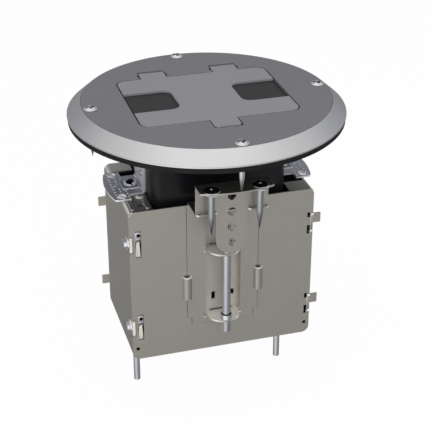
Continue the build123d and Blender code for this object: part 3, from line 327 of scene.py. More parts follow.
def cast_casting():
    """Fine blasted and clear-coated aluminium casting."""
    finish = Finish("Cast aluminium")
    grain = finish.noise(0.0007, 3)
    cloud = finish.noise(0.05, 2)
    colour = finish.blend(cloud, shade(colours().casting, 0.95), shade(colours().casting, 1.03))
    return finish.surface(
        Base_Color=colour,
        Metallic=0.92,
        Roughness=0.22 + 0.03 * grain + 0.04 * cloud,
        Normal=finish.bump(grain, 0.03, 0.0001),
    )


def powder_coat(name, base):
    """Fine-textured powder coat with a faint orange peel."""
    finish = Finish(name)
    peel = finish.noise(0.0009, 2)
    cloud = finish.noise(0.03, 3)
    colour = finish.blend(cloud, shade(base, 0.96), shade(base, 1.04))
    return finish.surface(
        Base_Color=colour,
        Metallic=0.0,
        Roughness=0.46 + 0.12 * peel,
        Normal=finish.bump(peel, 0.10, 0.0002),
    )


def moulded(name, base, roughness, grain_size, grain_strength, gloss=0.5):
    """Moulded plastic with a spark-eroded grain."""
    finish = Finish(name)
    grain = finish.noise(grain_size, 3)
    cloud = finish.noise(0.02, 2)
    colour = finish.blend(cloud, shade(base, 0.9), shade(base, 1.1))
    return finish.surface(
        Base_Color=colour,
        Roughness=roughness - 0.05 + 0.10 * grain,
        Specular_IOR_Level=gloss,
        Normal=finish.bump(grain, grain_strength, 0.0002),
    )


TROUGH_MOUTH_Y = 0.0526
TROUGH_FOOT_Z = -0.162
FLANGE_X = 0.058


def coated_sheet(name="Coated sheet steel", paint_trough_light=False):
    """Zinc-coated sheet steel with a soft spangle, a faint rolling grain and a painted highlight on
    its bends.

    In a channel the foot of the floor is painted lighter, a painted reflection of the shelf, and
    the shelves' tops and other up-facing faces are painted pale, painted light from above; the
    front half of the side panels' level flanges is painted darker, a painted reflection of the dark
    parts above.
    """
    finish = Finish(name)
    spangle = finish.node(
        "ShaderNodeTexVoronoi",
        {"feature": "SMOOTH_F1"},
        {"Vector": finish.place(), "Scale": 160.0, "Smoothness": 0.7},
    )
    grain = finish.noise(0.0006, 3, (1, 1, 0.04))
    cloud = finish.noise(0.06, 3)
    tone = (0.45 * cloud + 0.35 * spangle + 0.2 * grain).at_most(1.0)
    base = colours().sheet
    colour = finish.blend(tone, shade(base, 0.94), shade(base, 1.06))
    bend = finish.bends()
    metallic = 0.90 - 0.6 * bend
    level = (finish.along(finish.facing(), 2) * 4 - 2.4).share()
    spot = finish.place()
    if paint_trough_light:
        inside = ((TROUGH_MOUTH_Y - finish.along(spot, 1).size()) * 1500).share()
        foot = ((TROUGH_FOOT_Z - finish.along(spot, 2)) * 70).share()
        colour = finish.blend(inside, colour, base)
        # Painted reflection: the trough's floor is painted lighter towards its foot, above the
        # lower shelf.
        colour = finish.blend(inside * foot, colour, shade(base, 1.2))
        # Painted light: the shelves' tops and other up-facing faces are painted pale, as if lit
        # from above.
        colour = finish.blend(level, colour, (0.80, 0.775, 0.71))
        metallic = metallic - 0.5 * level.at_least(0.8 * inside)
    else:
        metallic = (metallic + 0.05 * level).at_most(1.0)
        # Painted reflection: the front half of the side panels' level flanges is painted darker, as
        # if mirroring the dark parts above.
        outward = ((finish.along(spot, 0).size() - FLANGE_X) * 500).share()
        ahead = (finish.along(spot, 1) * -40).share()
        colour = finish.blend(level * outward * ahead, colour, shade(base, 0.62))
    # Painted highlight: bends and rounded edges are painted near-white.
    return finish.surface(
        Base_Color=finish.blend(bend, colour, (0.88, 0.87, 0.84)),
        Metallic=metallic,
        Roughness=0.38 + 0.04 * spangle + 0.03 * grain - 0.12 * bend,
        Normal=finish.bump(grain, 0.025, 0.0001),
    )


def plated(name, base, roughness, metallic=1.0, bend_highlight=None, upright=None):
    """Plated steel with faint handling marks.

    Where a colour is given for them, its bends carry a painted highlight, and its upright faces are
    more matt and painted lighter, as painted light.
    """
    finish = Finish(name)
    marks = finish.noise(0.004, 4)
    fine = finish.noise(0.0004, 2)
    colour = finish.blend(marks, shade(base, 0.92), shade(base, 1.08))
    if upright:
        standing = (1.0 - 3.0 * finish.along(finish.facing(), 2).size()).at_least(0.0)
        # Painted light: upright faces are painted lighter in the given colour.
        colour = finish.blend(standing, colour, upright)
        metallic = metallic - 0.45 * standing
    if bend_highlight:
        # Painted highlight: bends are painted in the given near-white colour.
        colour = finish.blend(finish.bends(), colour, bend_highlight)
    return finish.surface(
        Base_Color=colour,
        Metallic=metallic,
        Roughness=roughness + 0.08 * marks + 0.04 * fine,
        Normal=finish.bump(fine, 0.04, 0.0001),
    )


def gasket_rubber():
    """Matt moulded rubber with a dusty bloom."""
    finish = Finish("Gasket rubber")
    grain = finish.noise(0.0006, 4)
    bloom = finish.ramp(finish.noise(0.015, 4), (0.45, 0.0), (0.8, 1.0))
    return finish.surface(
        Base_Color=finish.blend(bloom, (0.008, 0.008, 0.009), (0.014, 0.014, 0.015)),
        Roughness=0.50 + 0.12 * grain,
        Specular_IOR_Level=0.2,
        Normal=finish.bump(grain, 0.2, 0.0002),
    )


# Near-white of the painted highlight on plated bends.
BEND_HIGHLIGHT_ZINC = (0.85, 0.85, 0.88)
# Lighter colour of the painted light on the ears' upright faces.
UPRIGHT_PAINTED_LIGHT = (0.70, 0.70, 0.74)
made_finishes = {}


def finish_makers():
    """The function that makes each finish, and what it is given."""
    tint = colours()
    return {
        "casting": (cast_casting,),
        "plate": (powder_coat, "Plate powder coat", tint.plate),
        "lid": (powder_coat, "Lid powder coat", tint.lid),
        "door": (moulded, "Door plastic", tint.door, 0.5, 0.0005, 0.12, 0.25),
        "black": (moulded, "Black plastic", tint.neck, 0.30, 0.0008, 0.04, 0.22),
        "rubber": (gasket_rubber,),
        "sheet": (coated_sheet,),
        "channel": (coated_sheet, "Channel sheet steel", True),
        "zinc": (plated, "Zinc plate", tint.zinc, 0.26, 0.6, BEND_HIGHLIGHT_ZINC),
        # The ears carry painted light on their upright faces and a painted highlight on their
        # bends.
        "ear": (plated, "Ear zinc", tint.zinc, 0.26, 0.6, BEND_HIGHLIGHT_ZINC, UPRIGHT_PAINTED_LIGHT),
        "bright": (plated, "Bright zinc", tint.bright, 0.10),
        "shank": (plated, "Shank zinc", tint.shank, 0.16),
        # Painted light: the levelling screws' and height rods' zinc are lighter copies of the shank
        # zinc.
        "post": (plated, "Levelling zinc", shade(tint.shank, 1.6), 0.16),
        "rod": (plated, "Rod zinc", shade(tint.shank, 1.3), 0.10),
        # Painted light: the panel screws' zinc is a paler, less metallic copy of the bright zinc.
        "hexagon": (plated, "Hexagon zinc", (0.82, 0.82, 0.87), 0.14, 0.8),
        # Painted shade: the loops' steel is a darker copy of the sheet colour.
        "loop": (plated, "Loop steel", shade(tint.sheet, 0.95), 0.36, 0.9),
        # A near-white, barely metallic painted glint for dimples, ridges, rims, small lips and
        # recesses.
        "glint": (plated, "Burnished zinc", (0.95, 0.95, 0.96), 0.30, 0.25),
        "socket": (plated, "Socket shadow", (0.012, 0.012, 0.014), 0.4, 0.5),
        "recess": (plated, "Recess zinc", (0.28, 0.28, 0.32), 0.2),
        "oxide": (plated, "Black oxide", (0.035, 0.035, 0.05), 0.10, 0.8),
        "clip": (moulded, "Clip plastic", (0.70, 0.67, 0.60), 0.42, 0.0006, 0.05),
        "outlet": (moulded, "Outlet plastic", (0.035, 0.035, 0.04), 0.18, 0.001, 0.02),
        "jack": (moulded, "Jack plastic", (0.075, 0.075, 0.085), 0.45, 0.0005, 0.08),
        "green": (plated, "Green passivate", (0.03, 0.24, 0.08), 0.3, 0.6),
        "contact": (plated, "Gold contact", (0.83, 0.58, 0.22), 0.16),
    }


def finish_named(name):
    """The material of a finish, made on first use."""
    if name not in made_finishes:
        maker, *given = finish_makers()[name]
        made_finishes[name] = maker(*given)
    return made_finishes[name]


# Working on pieces


def clear_choice():
    """Leave edit mode and select nothing."""
    if bpy.context.mode != "OBJECT":
        bpy.ops.object.mode_set(mode="OBJECT")
    bpy.ops.object.select_all(action="DESELECT")


def use_piece(piece):
    """Leave edit mode and select one piece alone."""
    clear_choice()
    piece.select_set(True)
    bpy.context.view_layer.objects.active = piece


def new_piece(name):
    """Name the piece that was just added."""
    piece = bpy.context.object
    piece.name = name
    piece.data.name = name
    return piece


def shape_with(piece, kind, **settings):
    """Add a modifier, set it up and apply it."""
    modifier = piece.modifiers.new(kind, kind)
    for key, value in settings.items():
        setattr(modifier, key, value)
    use_piece(piece)
    bpy.ops.object.modifier_apply(modifier=modifier.name)


def bevelled(piece, width, segments=2):
    """Round a piece's sharp edges."""
    shape_with(piece, "BEVEL", width=width, segments=segments, limit_method="ANGLE")
    return piece


def edit_all(piece):
    """Open a piece in edit mode with all of it selected."""
    use_piece(piece)
    bpy.ops.object.mode_set(mode="EDIT")
    bpy.ops.mesh.select_all(action="SELECT")


def edit_faces(piece, wanted):
    """Open a piece in edit mode with the faces selected whose normals pass a test."""
    use_piece(piece)
    bpy.context.tool_settings.mesh_select_mode = (False, False, True)
    mesh = piece.data
    mesh.vertices.foreach_set("select", [False] * len(mesh.vertices))
    mesh.edges.foreach_set("select", [False] * len(mesh.edges))
    mesh.polygons.foreach_set("select", [wanted(face.normal) for face in mesh.polygons])
    bpy.ops.object.mode_set(mode="EDIT")


def close_edit():
    """Leave edit mode."""
    bpy.ops.object.mode_set(mode="OBJECT")


def trimmed(piece, spot, way, threshold=0.0001):
    """Cut away what lies past a plane and close the cut."""
    edit_all(piece)
    bpy.ops.mesh.bisect(
        plane_co=spot, plane_no=way, threshold=threshold, use_fill=True, clear_outer=True
    )
    close_edit()


def tidy_skin(piece):
    """Merge doubles and turn the faces outwards."""
    edit_all(piece)
    bpy.ops.mesh.remove_doubles(threshold=1e-6)
    bpy.ops.mesh.normals_make_consistent(inside=False)
    close_edit()


def smooth(piece, angle):
    """Smooth shading with sharp edges past an angle."""
    use_piece(piece)
    bpy.ops.object.shade_smooth_by_angle(angle=math.radians(angle))


def block(name, x, y, z):
    """A box between low and high limits along each axis, in millimetres."""
    clear_choice()
    middle = [sum(span) / 2 * MM for span in (x, y, z)]
    size = [(span[1] - span[0]) * MM for span in (x, y, z)]
    bpy.ops.mesh.primitive_cube_add(size=1, location=middle)
    piece = new_piece(name)
    piece.scale = size
    bpy.ops.object.transform_apply(location=True, rotation=True, scale=True)
    return piece


def rod(name, radius, low, high, sides=32):
    """An upright cylinder about the Z axis, in millimetres."""
    clear_choice()
    bpy.ops.mesh.primitive_cylinder_add(
        vertices=sides,
        radius=radius * MM,
        depth=(high - low) * MM,
        location=(0, 0, (low + high) / 2 * MM),
    )
    piece = new_piece(name)
    bpy.ops.object.transform_apply(location=True, rotation=True, scale=True)
    return piece


def drawn_line(name, points):
    """A line through (radius, height) points in the XZ plane, drawn by extruding one vertex."""
    clear_choice()
    bpy.ops.mesh.primitive_plane_add(size=0.002)
    piece = new_piece(name)
    edit_all(piece)
    bpy.context.tool_settings.mesh_select_mode = (True, False, False)
    bpy.ops.mesh.merge(type="CENTER")
    spot = Vector((points[0][0] * MM, 0, points[0][1] * MM))
    bpy.ops.transform.translate(value=spot)
    for radius, height in points[1:]:
        following = Vector((radius * MM, 0, height * MM))
        bpy.ops.mesh.extrude_region_move(TRANSFORM_OT_translate={"value": following - spot})
        spot = following
    close_edit()
    return piece


def turned(name, points, steps=40):
    """A solid of revolution about the Z axis from (radius, height) points."""
    piece = drawn_line(name, points)
    edit_all(piece)
    bpy.ops.mesh.spin(steps=steps, angle=2 * math.pi, center=(0, 0, 0), axis=(0, 0, 1))
    tidy_skin(piece)
    return piece


THREAD_STEPS = 20


def threaded(name, radius, pitch, low, high):
    """A machine thread about the Z axis between two heights, in millimetres."""
    root = radius - sizes().thread_depth / MM
    start = low - pitch
    points = [(root, start), (radius, start + 0.2 * pitch), (radius, start + 0.7 * pitch)]
    points += [(root, start + 0.9 * pitch), (root, start + pitch)]
    piece = drawn_line(name, points)
    turns = int((high - low) / pitch) + 3
    shape_with(
        piece,
        "SCREW",
        angle=2 * math.pi,
        screw_offset=pitch * MM,
        iterations=turns,
        steps=THREAD_STEPS,
        render_steps=THREAD_STEPS,
    )
    tidy_skin(piece)
    for height, outward in ((low, -1), (high, 1)):
        trimmed(piece, (0, 0, height * MM), (0, 0, outward), 1e-7)
    edit_all(piece)
    bpy.ops.mesh.normals_make_consistent(inside=False)
    close_edit()
    return piece


def joined(name, pieces):
    """Several pieces as one."""
    use_piece(pieces[0])
    for piece in pieces[1:]:
        piece.select_set(True)
    if len(pieces) > 1:
        bpy.ops.object.join()
    return new_piece(name)


def copied(piece, name, move):
    """A copy of a piece with its own mesh, moved by a matrix, that rides on no body yet."""
    twin = piece.copy()
    twin.data = piece.data.copy()
    twin.name = name
    twin.data.name = name
    twin.parent = None
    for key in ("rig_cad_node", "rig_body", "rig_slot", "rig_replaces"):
        if key in twin:
            del twin[key]
    bpy.context.collection.objects.link(twin)
    twin.data.transform(move)
    return twin


def repeated(model, name, moves):
    """One piece made of copies of a model, each moved by its own matrix. The model goes."""
    copies = [copied(model, model.name, move) for move in moves]
    bpy.data.objects.remove(model)
    return joined(name, copies)


def paired(model, x, y, z):
    """Two copies of a model at one place and at its mirror image to the left."""
    return repeated(model, model.name, [shift(way * x, y, z) for way in (-1, 1)])


def placed(piece, move):
    """Move a piece's mesh by a matrix and leave its object at the origin."""
    piece.data.transform(move)
    return piece


def shift(x, y, z):
    """A move in millimetres."""
    return Matrix.Translation(Vector((x, y, z)) * MM)


def cut(piece, cutters):
    """Cut several closed shapes out of a piece and delete them."""
    for cutter in cutters:
        shape_with(piece, "BOOLEAN", object=cutter, operation="DIFFERENCE", solver="EXACT")
        bpy.data.objects.remove(cutter)
    return piece


def cross_recess(top, width, depth):
    """The two arms of a cross-shaped driver recess below a height."""
    arms = []
    for turn in (0, 90):
        arm = block("arm", (-width / 2, width / 2), (-width / 7, width / 7), (top - depth, top + 3))
        edit_faces(arm, lambda normal: normal.z < -0.9)
        bpy.ops.transform.resize(value=(0.55, 0.75, 1))
        close_edit()
        arms.append(placed(arm, Matrix.Rotation(math.radians(turn), 4, "Z")))
    return arms


def dress(piece, finish, slot, body, replaced=()):
    """Give a piece its material, its slot and its body, and hide the nodes that it stands for."""
    if finish:
        piece.data.materials.clear()
        piece.data.materials.append(finish_named(finish))
    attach(piece, body)
    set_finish(piece, slot)
    if replaced:
        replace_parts(piece, *replaced)
    return piece


def both(piece, name, sides, finish, slot, body, angle=None, replaced=""):
    """Smooth and dress a piece, and its twin half a turn round the box.

    The braces in the name, the body and the replaced node stand for the side.
    """
    if angle:
        smooth(piece, angle)
    for side in sides:
        if side != sides[0]:
            piece = copied(piece, name, HALF_TURN)
        piece.name = name.format(side)
        piece.data.name = piece.name
        nodes = (replaced.format(side),) if replaced else ()
        dress(piece, finish, slot, body.format(side), nodes)


SOFT_ANGLE = 38


def softened(node, edge, finish, slot, body, segments=2):
    """A copy of a node with its doubles merged and its sharp edges rounded."""
    piece = copied(frame["nodes"][node], f"{node}_rounded", Matrix())
    use_piece(piece)
    bpy.ops.mesh.customdata_custom_splitnormals_clear()
    edit_all(piece)
    bpy.ops.mesh.remove_doubles(threshold=2e-6)
    bpy.ops.mesh.dissolve_limited(angle_limit=math.radians(1.0))
    close_edit()
    bpy.ops.object.shade_smooth()
    shape_with(
        piece,
        "BEVEL",
        width=edge,
        segments=segments,
        limit_method="ANGLE",
        angle_limit=math.radians(SOFT_ANGLE),
        use_clamp_overlap=True,
        harden_normals=True,
    )
    smooth(piece, SOFT_ANGLE)
    return dress(piece, finish, slot, body, (node,))


def height_at(profile, radius):
    """Height of a head's dome at a radius, from its (radius, height) points, outermost first."""
    for outer, inner in zip(profile, profile[1:]):
        if inner[0] <= radius <= outer[0] and outer[0] > inner[0]:
            share = (radius - inner[0]) / (outer[0] - inner[0])
            return inner[1] + share * (outer[1] - inner[1])
    return profile[-1][1]


def darken(head, finishes, wanted):
    """Give a screw head its finishes, the second one where its faces pass a test; that one paints
    light into
    the recess: painted shade on the ring screws, painted shadow in the levelling screws' socket, a
    painted glint on the bracket screws.

    The test is given a face's distance from the axis and its height, in millimetres.
    """
    for finish in finishes:
        head.data.materials.append(finish_named(finish))
    for face in head.data.polygons:
        radius = math.hypot(face.center.x, face.center.y) / MM
        if wanted(radius, face.center.z / MM):
            face.material_index = 1
    return head


def driver_head(name, profile, dome, recess, finishes):
    """A turned screw head about the Z axis whose cross recess in its dome carries the second
    finish:
    painted shade on the ring screws, a painted glint on the bracket screws.
    """
    head = turned(name, profile)
    cut(head, cross_recess(profile[-1][1], *recess))
    tidy_skin(head)
    smooth(head, 32)
    width, depth = recess
    floor = profile[-1][1] - depth - 0.1

    def in_recess(radius, z):
        return radius < width / 2 + 0.2 and floor < z < height_at(dome, radius) - 0.15

    return darken(head, finishes, in_recess)


# Cover, lid and neck


def add_ring_screws():
    """Four wood screws with oval heads and cross recesses."""
    low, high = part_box("ring_screws")
    head_top = (high.z - low.z) / MM
    seat = head_top - (high.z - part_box("cover_plate")[1].z) / MM
    shank = [(0, 0), (0.25, 0.6), (2.1, 10.5), (2.75, 14.5), (2.75, 28.5), (2.5, 28.7)]
    shank += [(2.5, seat)]
    head_radius = 6.6
    head = [(6.4, seat), (head_radius, seat + 0.25), (6.5, seat + 0.65), (5.6, seat + 1.05)]
    head += [(5.4, seat + 0.95), (5.0, seat + 1.5), (4.2, seat + 1.85), (4.0, seat + 1.75)]
    head += [(3.4, head_top - 0.15), (0, head_top)]
    # Painted shade: the cross recess is painted in the darker shank zinc.
    finishes = ("bright", "shank")
    screw = driver_head("ring_screw", [*shank, *head], head, (11.2, 2.3), finishes)
    quarters = [Matrix.Rotation(math.radians(90 * quarter), 4, "Z") for quarter in range(4)]
    reach = shift(high.x / MM - head_radius, 0, low.z / MM)
    screws = repeated(screw, "ring_screws_cross_head", [turn @ reach for turn in quarters])
    dress(screws, None, "bright_zinc", "cover", ("ring_screws",))


class FLOORBOX_OT_cover(bpy.types.Operator):
    """Trim ring, gasket, cover plate and their four wood screws"""

    bl_idname = "floorbox.cover"
    bl_label = "Cover"

    def execute(self, context):
        size = sizes()
        softened("trim_ring", size.casting_edge, "casting", "cast_aluminium", "cover", segments=3)
        softened("floor_gasket", 0.001, "rubber", "black_rubber", "cover", segments=3)
        softened("cover_plate", size.plate_edge, "plate", "cover_grey", "cover")
        add_ring_screws()
        return {"FINISHED"}


class FLOORBOX_OT_lid(bpy.types.Operator):
    """Lid, cable doors, their guide, hinge pins and small screws"""

    bl_idname = "floorbox.lid"
    bl_label = "Lid"

    def execute(self, context):
        size = sizes()
        softened("lid", size.plate_edge, "lid", "lid_grey", "lid")
        softened("door_guide", size.moulded_edge / 2, "black", "black_plastic", "lid")
        for side in SIDES:
            door = f"cable_door_{side}"
            softened(door, size.moulded_edge, "door", "door_plastic", f"{side}_door")
        softened("hinge_pins", 0.0002, "recess", "bright_zinc", "cover")
        softened("guide_screws", 0.0003, "bright", "bright_zinc", "lid", segments=3)
        return {"FINISHED"}


def add_hinge_pockets():
    """Thin black pockets under the frame, which close off the hinge tabs' windows."""
    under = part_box("seat_frame")[0].z / MM
    tab_x = 35.2
    ledge, past = 88.1, 104
    ring = [(ledge, 0), (past, 0), (past, 12), (ledge, 12), (ledge, 0)]
    pockets = []
    for middle in (-tab_x, tab_x):
        inner, outer = (13.7, 14.1) if middle < 0 else (14.1, 13.7)
        pocket = block("pocket", (middle - inner, middle + outer), (59.4, 75.3), (2.2, under))
        space = block("space", (middle - 13.1, middle + 13.1), (60.4, 74.5), (3.2, under + 1))
        pockets.append(cut(pocket, [space, turned("ring", ring, 96)]))
    piece = joined("hinge_pockets", pockets)
    tidy_skin(piece)
    smooth(piece, 30)
    dress(piece, "black", "black_plastic", "cover")


class FLOORBOX_OT_neck(bpy.types.Operator):
    """Seat frame with its hinge pockets, neck and their screws"""

    bl_idname = "floorbox.neck"
    bl_label = "Neck"

    def execute(self, context):
        size = sizes()
        softened("seat_frame", size.moulded_edge, "black", "black_plastic", "cover")
        softened("neck", size.moulded_edge, "black", "black_plastic", "cover", segments=3)
        softened("frame_screws", 0.0003, "bright", "bright_zinc", "cover", segments=3)
        softened("neck_screws", 0.0002, "bright", "bright_zinc", "cover")
        add_hinge_pockets()
        return {"FINISHED"}


EAR_TOP = -62.0
EAR_HOLE_Y = 22.5
EAR_REACH = 95.8


def add_ear_frames():
    """An embossed rectangular ridge round each levelling screw's head, painted near-white as a
    painted highlight.
    """
    ridge = block("ridge", (-82.3, -66.6), (-9.6, 9.6), (EAR_TOP - 0.1, EAR_TOP + 0.4))
    cut(ridge, [block("inner", (-81.5, -67.4), (-8.8, 8.8), (EAR_TOP - 1, EAR_TOP + 1))])
    bevelled(ridge, 0.0002)
    both(ridge, "ear_frame_{}", SIDES, "glint", "zinc_plate", "cover", 50)


def add_ear_hole_rims():
    """Drawn collars round the two large holes of each ear, painted near-white as painted glints."""
    points = [(3.2, -0.2), (3.2, 0.75), (3.45, 0.95), (3.8, 0.75), (4.3, 0.1), (4.3, -0.2)]
    rim = turned("rim", [*points, points[0]], 32)
    rims = repeated(rim, "rims", [shift(-86.2, way * EAR_HOLE_Y, EAR_TOP) for way in (-1, 1)])
    both(rims, "ear_hole_rims_{}", SIDES, "glint", "zinc_plate", "cover", 50)


def add_ear_dimples():
    """Rows of small raised dimples that follow the ears' outer edge, painted near-white as painted
    glints.
    """
    clear_choice()
    bpy.ops.mesh.primitive_uv_sphere_add(
        segments=12, ring_count=8, radius=sizes().dimple_radius, location=(0, 0, 0)
    )
    dimple = new_piece("dimple")
    trimmed(dimple, (0, 0, 0), (0, 0, -1))
    smooth(dimple, 60)
    moves = []
    for column, x in enumerate((-90.9, -85.5, -80.1)):
        for row in range(-5, 6):
            y = row * sizes().dimple_pitch / MM - 1.6
            near_hole = abs(abs(y) - EAR_HOLE_Y) < 4.2 and column == 1
            near_rim = abs(y) < 11 and column == 2
            near_pin = abs(y) < 2 and column == 1
            if not (near_hole or near_rim or near_pin or math.hypot(x, y) > EAR_REACH):
                moves.append(shift(x, y, EAR_TOP - 0.05))
    dimples = repeated(dimple, "dimples", moves)
    both(dimples, "ear_dimples_{}", SIDES, "glint", "zinc_plate", "cover")


class FLOORBOX_OT_ears(bpy.types.Operator):
    """Ears of the neck with their dimples, rims, ridges and screws"""

    bl_idname = "floorbox.ears"
    bl_label = "Ears"

    def execute(self, context):
        for side in SIDES:
            softened(f"ear_{side}", sizes().sheet_edge, "ear", "zinc_plate", "cover")
        softened("ear_screws", 0.0003, "bright", "bright_zinc", "cover", segments=3)
        add_ear_dimples()
        add_ear_hole_rims()
        add_ear_frames()
        return {"FINISHED"}


# Screws and rods


def levelling_head(seat, top):
    """Pan head with a deep socket and a cross at its floor."""
    profile = [(0, seat), (6.3, seat), (6.5, seat + 0.4), (6.45, seat + 1.5)]
    profile += [(5.9, seat + 2.9), (5.0, top - 0.25), (4.3, top), (3.9, top - 0.3)]
    profile += [(3.6, seat + 2.2), (0, seat + 1.7)]
    head = turned("head", profile)
    cut(head, cross_recess(seat + 2.1, 6.0, 1.4))
    tidy_skin(head)
    # Painted shadow: the socket's faces are painted near-black.
    return darken(head, ("bright", "socket"), lambda radius, z: radius < 3.95 and z > seat + 0.2)


class FLOORBOX_OT_levelling(bpy.types.Operator):
    """Long levelling screws, their clips and nuts"""

    bl_idname = "floorbox.levelling"
    bl_label = "Levelling screws"

    def execute(self, context):
        low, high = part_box("levelling_screw_left")
        top = high.z / MM
        seat = top - 3.8
        pitch = sizes().screw_pitch / MM
        shank = threaded("levelling_screw", 3.175, pitch, low.z / MM, seat - 1.0)
        collar = turned("neck", [(0, seat - 1.4), (3.1, seat - 1.4), (3.175, seat), (0, seat)])
        for stem in (shank, collar):
            stem.data.materials.append(finish_named("post"))
        screw = joined("levelling_screw", [shank, collar, levelling_head(seat, top)])
        placed(screw, shift((low.x + high.x) / 2 / MM, 0, 0))
        name, node, body = "levelling_screw_{}_threaded", "levelling_screw_{}", "{}_levelling_screw"
        both(screw, name, SIDES, None, "bright_zinc", body, 40, node)
        for side in SIDES:
            clip = f"levelling_clip_{side}"
            softened(clip, 0.0001, "zinc", "zinc_plate", body.format(side))
        softened("levelling_nuts", 0.0003, "zinc", "zinc_plate", "box")
        return {"FINISHED"}


def add_collar_gaps(radius, y):
    """A near-black ring between each rod and the mouth of its collar: painted shadow of a running
    gap.
    """
    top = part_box("rod_collar_front")[1].z / MM
    outer = radius + 1.0
    points = [(radius, top - 0.3), (outer, top - 0.3), (outer, top + 0.04), (radius, top + 0.04)]
    ring = placed(turned("ring", [*points, points[0]]), shift(0, y, 0))
    # Painted shadow: the ring takes the near-black socket shadow finish.
    both(ring, "rod_collar_gap_{}", ENDS, "socket", "bright_zinc", "{}_rod", 40)


class FLOORBOX_OT_rods(bpy.types.Operator):
    """Height rods and their collars"""

    bl_idname = "floorbox.rods"
    bl_label = "Height rods"

    def execute(self, context):
        low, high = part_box("height_rod_front")
        y = (low.y + high.y) / 2 / MM
        low_z, top_z = low.z / MM, high.z / MM
        radius = (high.x - low.x) / 2 / MM
        root = radius - sizes().thread_depth / MM
        pitch = sizes().rod_pitch / MM
        thread = threaded("height_rod", radius, pitch, low_z + 0.8, top_z - 0.8)
        edge = radius - 0.7
        tip = turned("tip", [(0, low_z), (edge, low_z), (root, low_z + 0.9), (0, low_z + 0.9)])
        points = [(0, top_z - 0.9), (root, top_z - 0.9), (edge, top_z), (0, top_z)]
        end = turned("end", points)
        cut(end, [block("slot", (-4, 4), (-0.5, 0.5), (top_z - 2, top_z + 1))])
        piece = placed(joined("height_rod", [thread, tip, end]), shift(0, y, 0))
        name, node = "height_rod_{}_threaded", "height_rod_{}"
        both(piece, name, ENDS, "rod", "bright_zinc", "{}_rod", 40, node)
        for side in ENDS:
            softened(f"rod_collar_{side}", 0.0003, "rod", "bright_zinc", f"{side}_rod")
        add_collar_gaps(radius, y)
        return {"FINISHED"}


def add_dimple_rims():
    """Raised rims of the flange's dimples round the screws' front halves, painted near-white as a
    painted highlight.
    """
    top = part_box("floor_bracket_front")[1].z / MM
    points = [(7.4, -0.1), (7.5, 0.12), (7.9, 0.16), (8.3, 0.02), (8.3, -0.1)]
    rim = turned("rim", [*points, points[0]], 48)
    trimmed(rim, (0, -4.2 * MM, 0), (0, 1, 0))
    hole_x, hole_y = 22.1, -91.0
    rims = paired(rim, hole_x, hole_y, top)
    both(rims, "bracket_dimple_rims_{}", ENDS, "glint", "galvanised_steel", "{}_bracket", 50)


def add_bracket_screws():
    """Bright shanks with long points, and black oval heads with a cross recess painted near-white
    as a painted glint.
    """
    low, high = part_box("bracket_screws_front")
    tip = low.z / MM
    seat = high.z / MM - 1.6
    reach = (high.x - low.x) / 2 / MM - 7.2
    y = (low.y + high.y) / 2 / MM
    points = [(0, tip), (0.25, tip + 0.6), (1.9, tip + 9.5), (2.8, tip + 15.5)]
    points += [(3.05, tip + 19.0), (3.05, seat - 4.6), (0, seat - 4.6)]
    shank = turned("shank", points)
    smooth(shank, 40)
    under = [(0, seat - 4.7), (3.0, seat - 4.7), (7.05, seat - 0.3)]
    dome = [(7.2, seat), (6.9, seat + 0.2), (5.2, seat + 0.5), (2.8, seat + 0.7)]
    dome.append((0, seat + 0.8))
    # Painted glint: the cross recess takes the near-white glint finish.
    head = driver_head("head", [*under, *dome], dome, (3.4, 1.4), ("oxide", "glint"))
    shanks = paired(shank, reach, y, 0)
    both(shanks, "bracket_screw_shanks_{}", ENDS, "shank", "bright_zinc", "{}_bracket")
    heads = paired(head, reach, y, 0)
    name, node = "bracket_screw_heads_{}", "bracket_screws_{}"
    both(heads, name, ENDS, None, "black_oxide", "{}_bracket", replaced=node)


class FLOORBOX_OT_brackets(bpy.types.Operator):
    """Floor brackets, lift plates and their black-headed wood screws"""

    bl_idname = "floorbox.brackets"
    bl_label = "Floor brackets"

    def execute(self, context):
        edge = sizes().sheet_edge
        for side in ENDS:
            for node in (f"floor_bracket_{side}", f"lift_plate_{side}"):
                softened(node, edge, "sheet", "galvanised_steel", f"{side}_bracket")
        add_bracket_screws()
        add_dimple_rims()
        return {"FINISHED"}


# Box and what is in it


TAB_MIDDLES = (-98.4, -186.5)


def slotted(stem, slots):
    """Cut slots, each given by its limits, through a front piece and its twin at the back."""
    for side, turn in zip(ENDS, (Matrix(), HALF_TURN)):
        piece = bpy.data.objects[f"{stem.format(side)}_rounded"]
        cut(piece, [placed(block("slot", *limits), turn) for limits in slots])
        smooth(piece, SOFT_ANGLE)


def open_trough_edges():
    """A narrow slit down one edge of each trough."""
    slotted("rod_channel_{}", [((16.35, 17.0), (-53.5, -50.2), (-180.2, -115.0))])


def add_loop_lips():
    """Sheared lips round the upper mouths of the seam loops, in the pale clip colour as painted
    light on their tops.
    """
    points = [(2.7, -0.4), (2.7, 0.2), (4.2, 0.3), (4.4, 0.1), (4.4, -0.4)]
    lip = turned("lip", [*points, points[0]], 32)
    trimmed(lip, (0, 0, 0), (0, 1, 0))
    x, y, mouth = 34.4, -52.7, -137.6
    # Painted light: the lips take the pale clip colour.
    both(paired(lip, x, y, mouth), "seam_loop_lips_{}", ENDS, "clip", "galvanised_steel", "box", 40)


def add_relief_lips():
    """Small lips under the reliefs at the shelves' ends, painted near-white as painted glints."""
    lips = []
    for height in (-184.6, -113.4):
        for x in (-17.6, 17.2):
            lip = block("lip", (x - 0.7, x + 0.7), (-53.3, -52.6), (height - 0.4, height + 0.4))
            lips.append(bevelled(lip, 0.0002))
    both(joined("lips", lips), "shelf_relief_lips_{}", ENDS, "glint", "galvanised_steel", "box", 50)


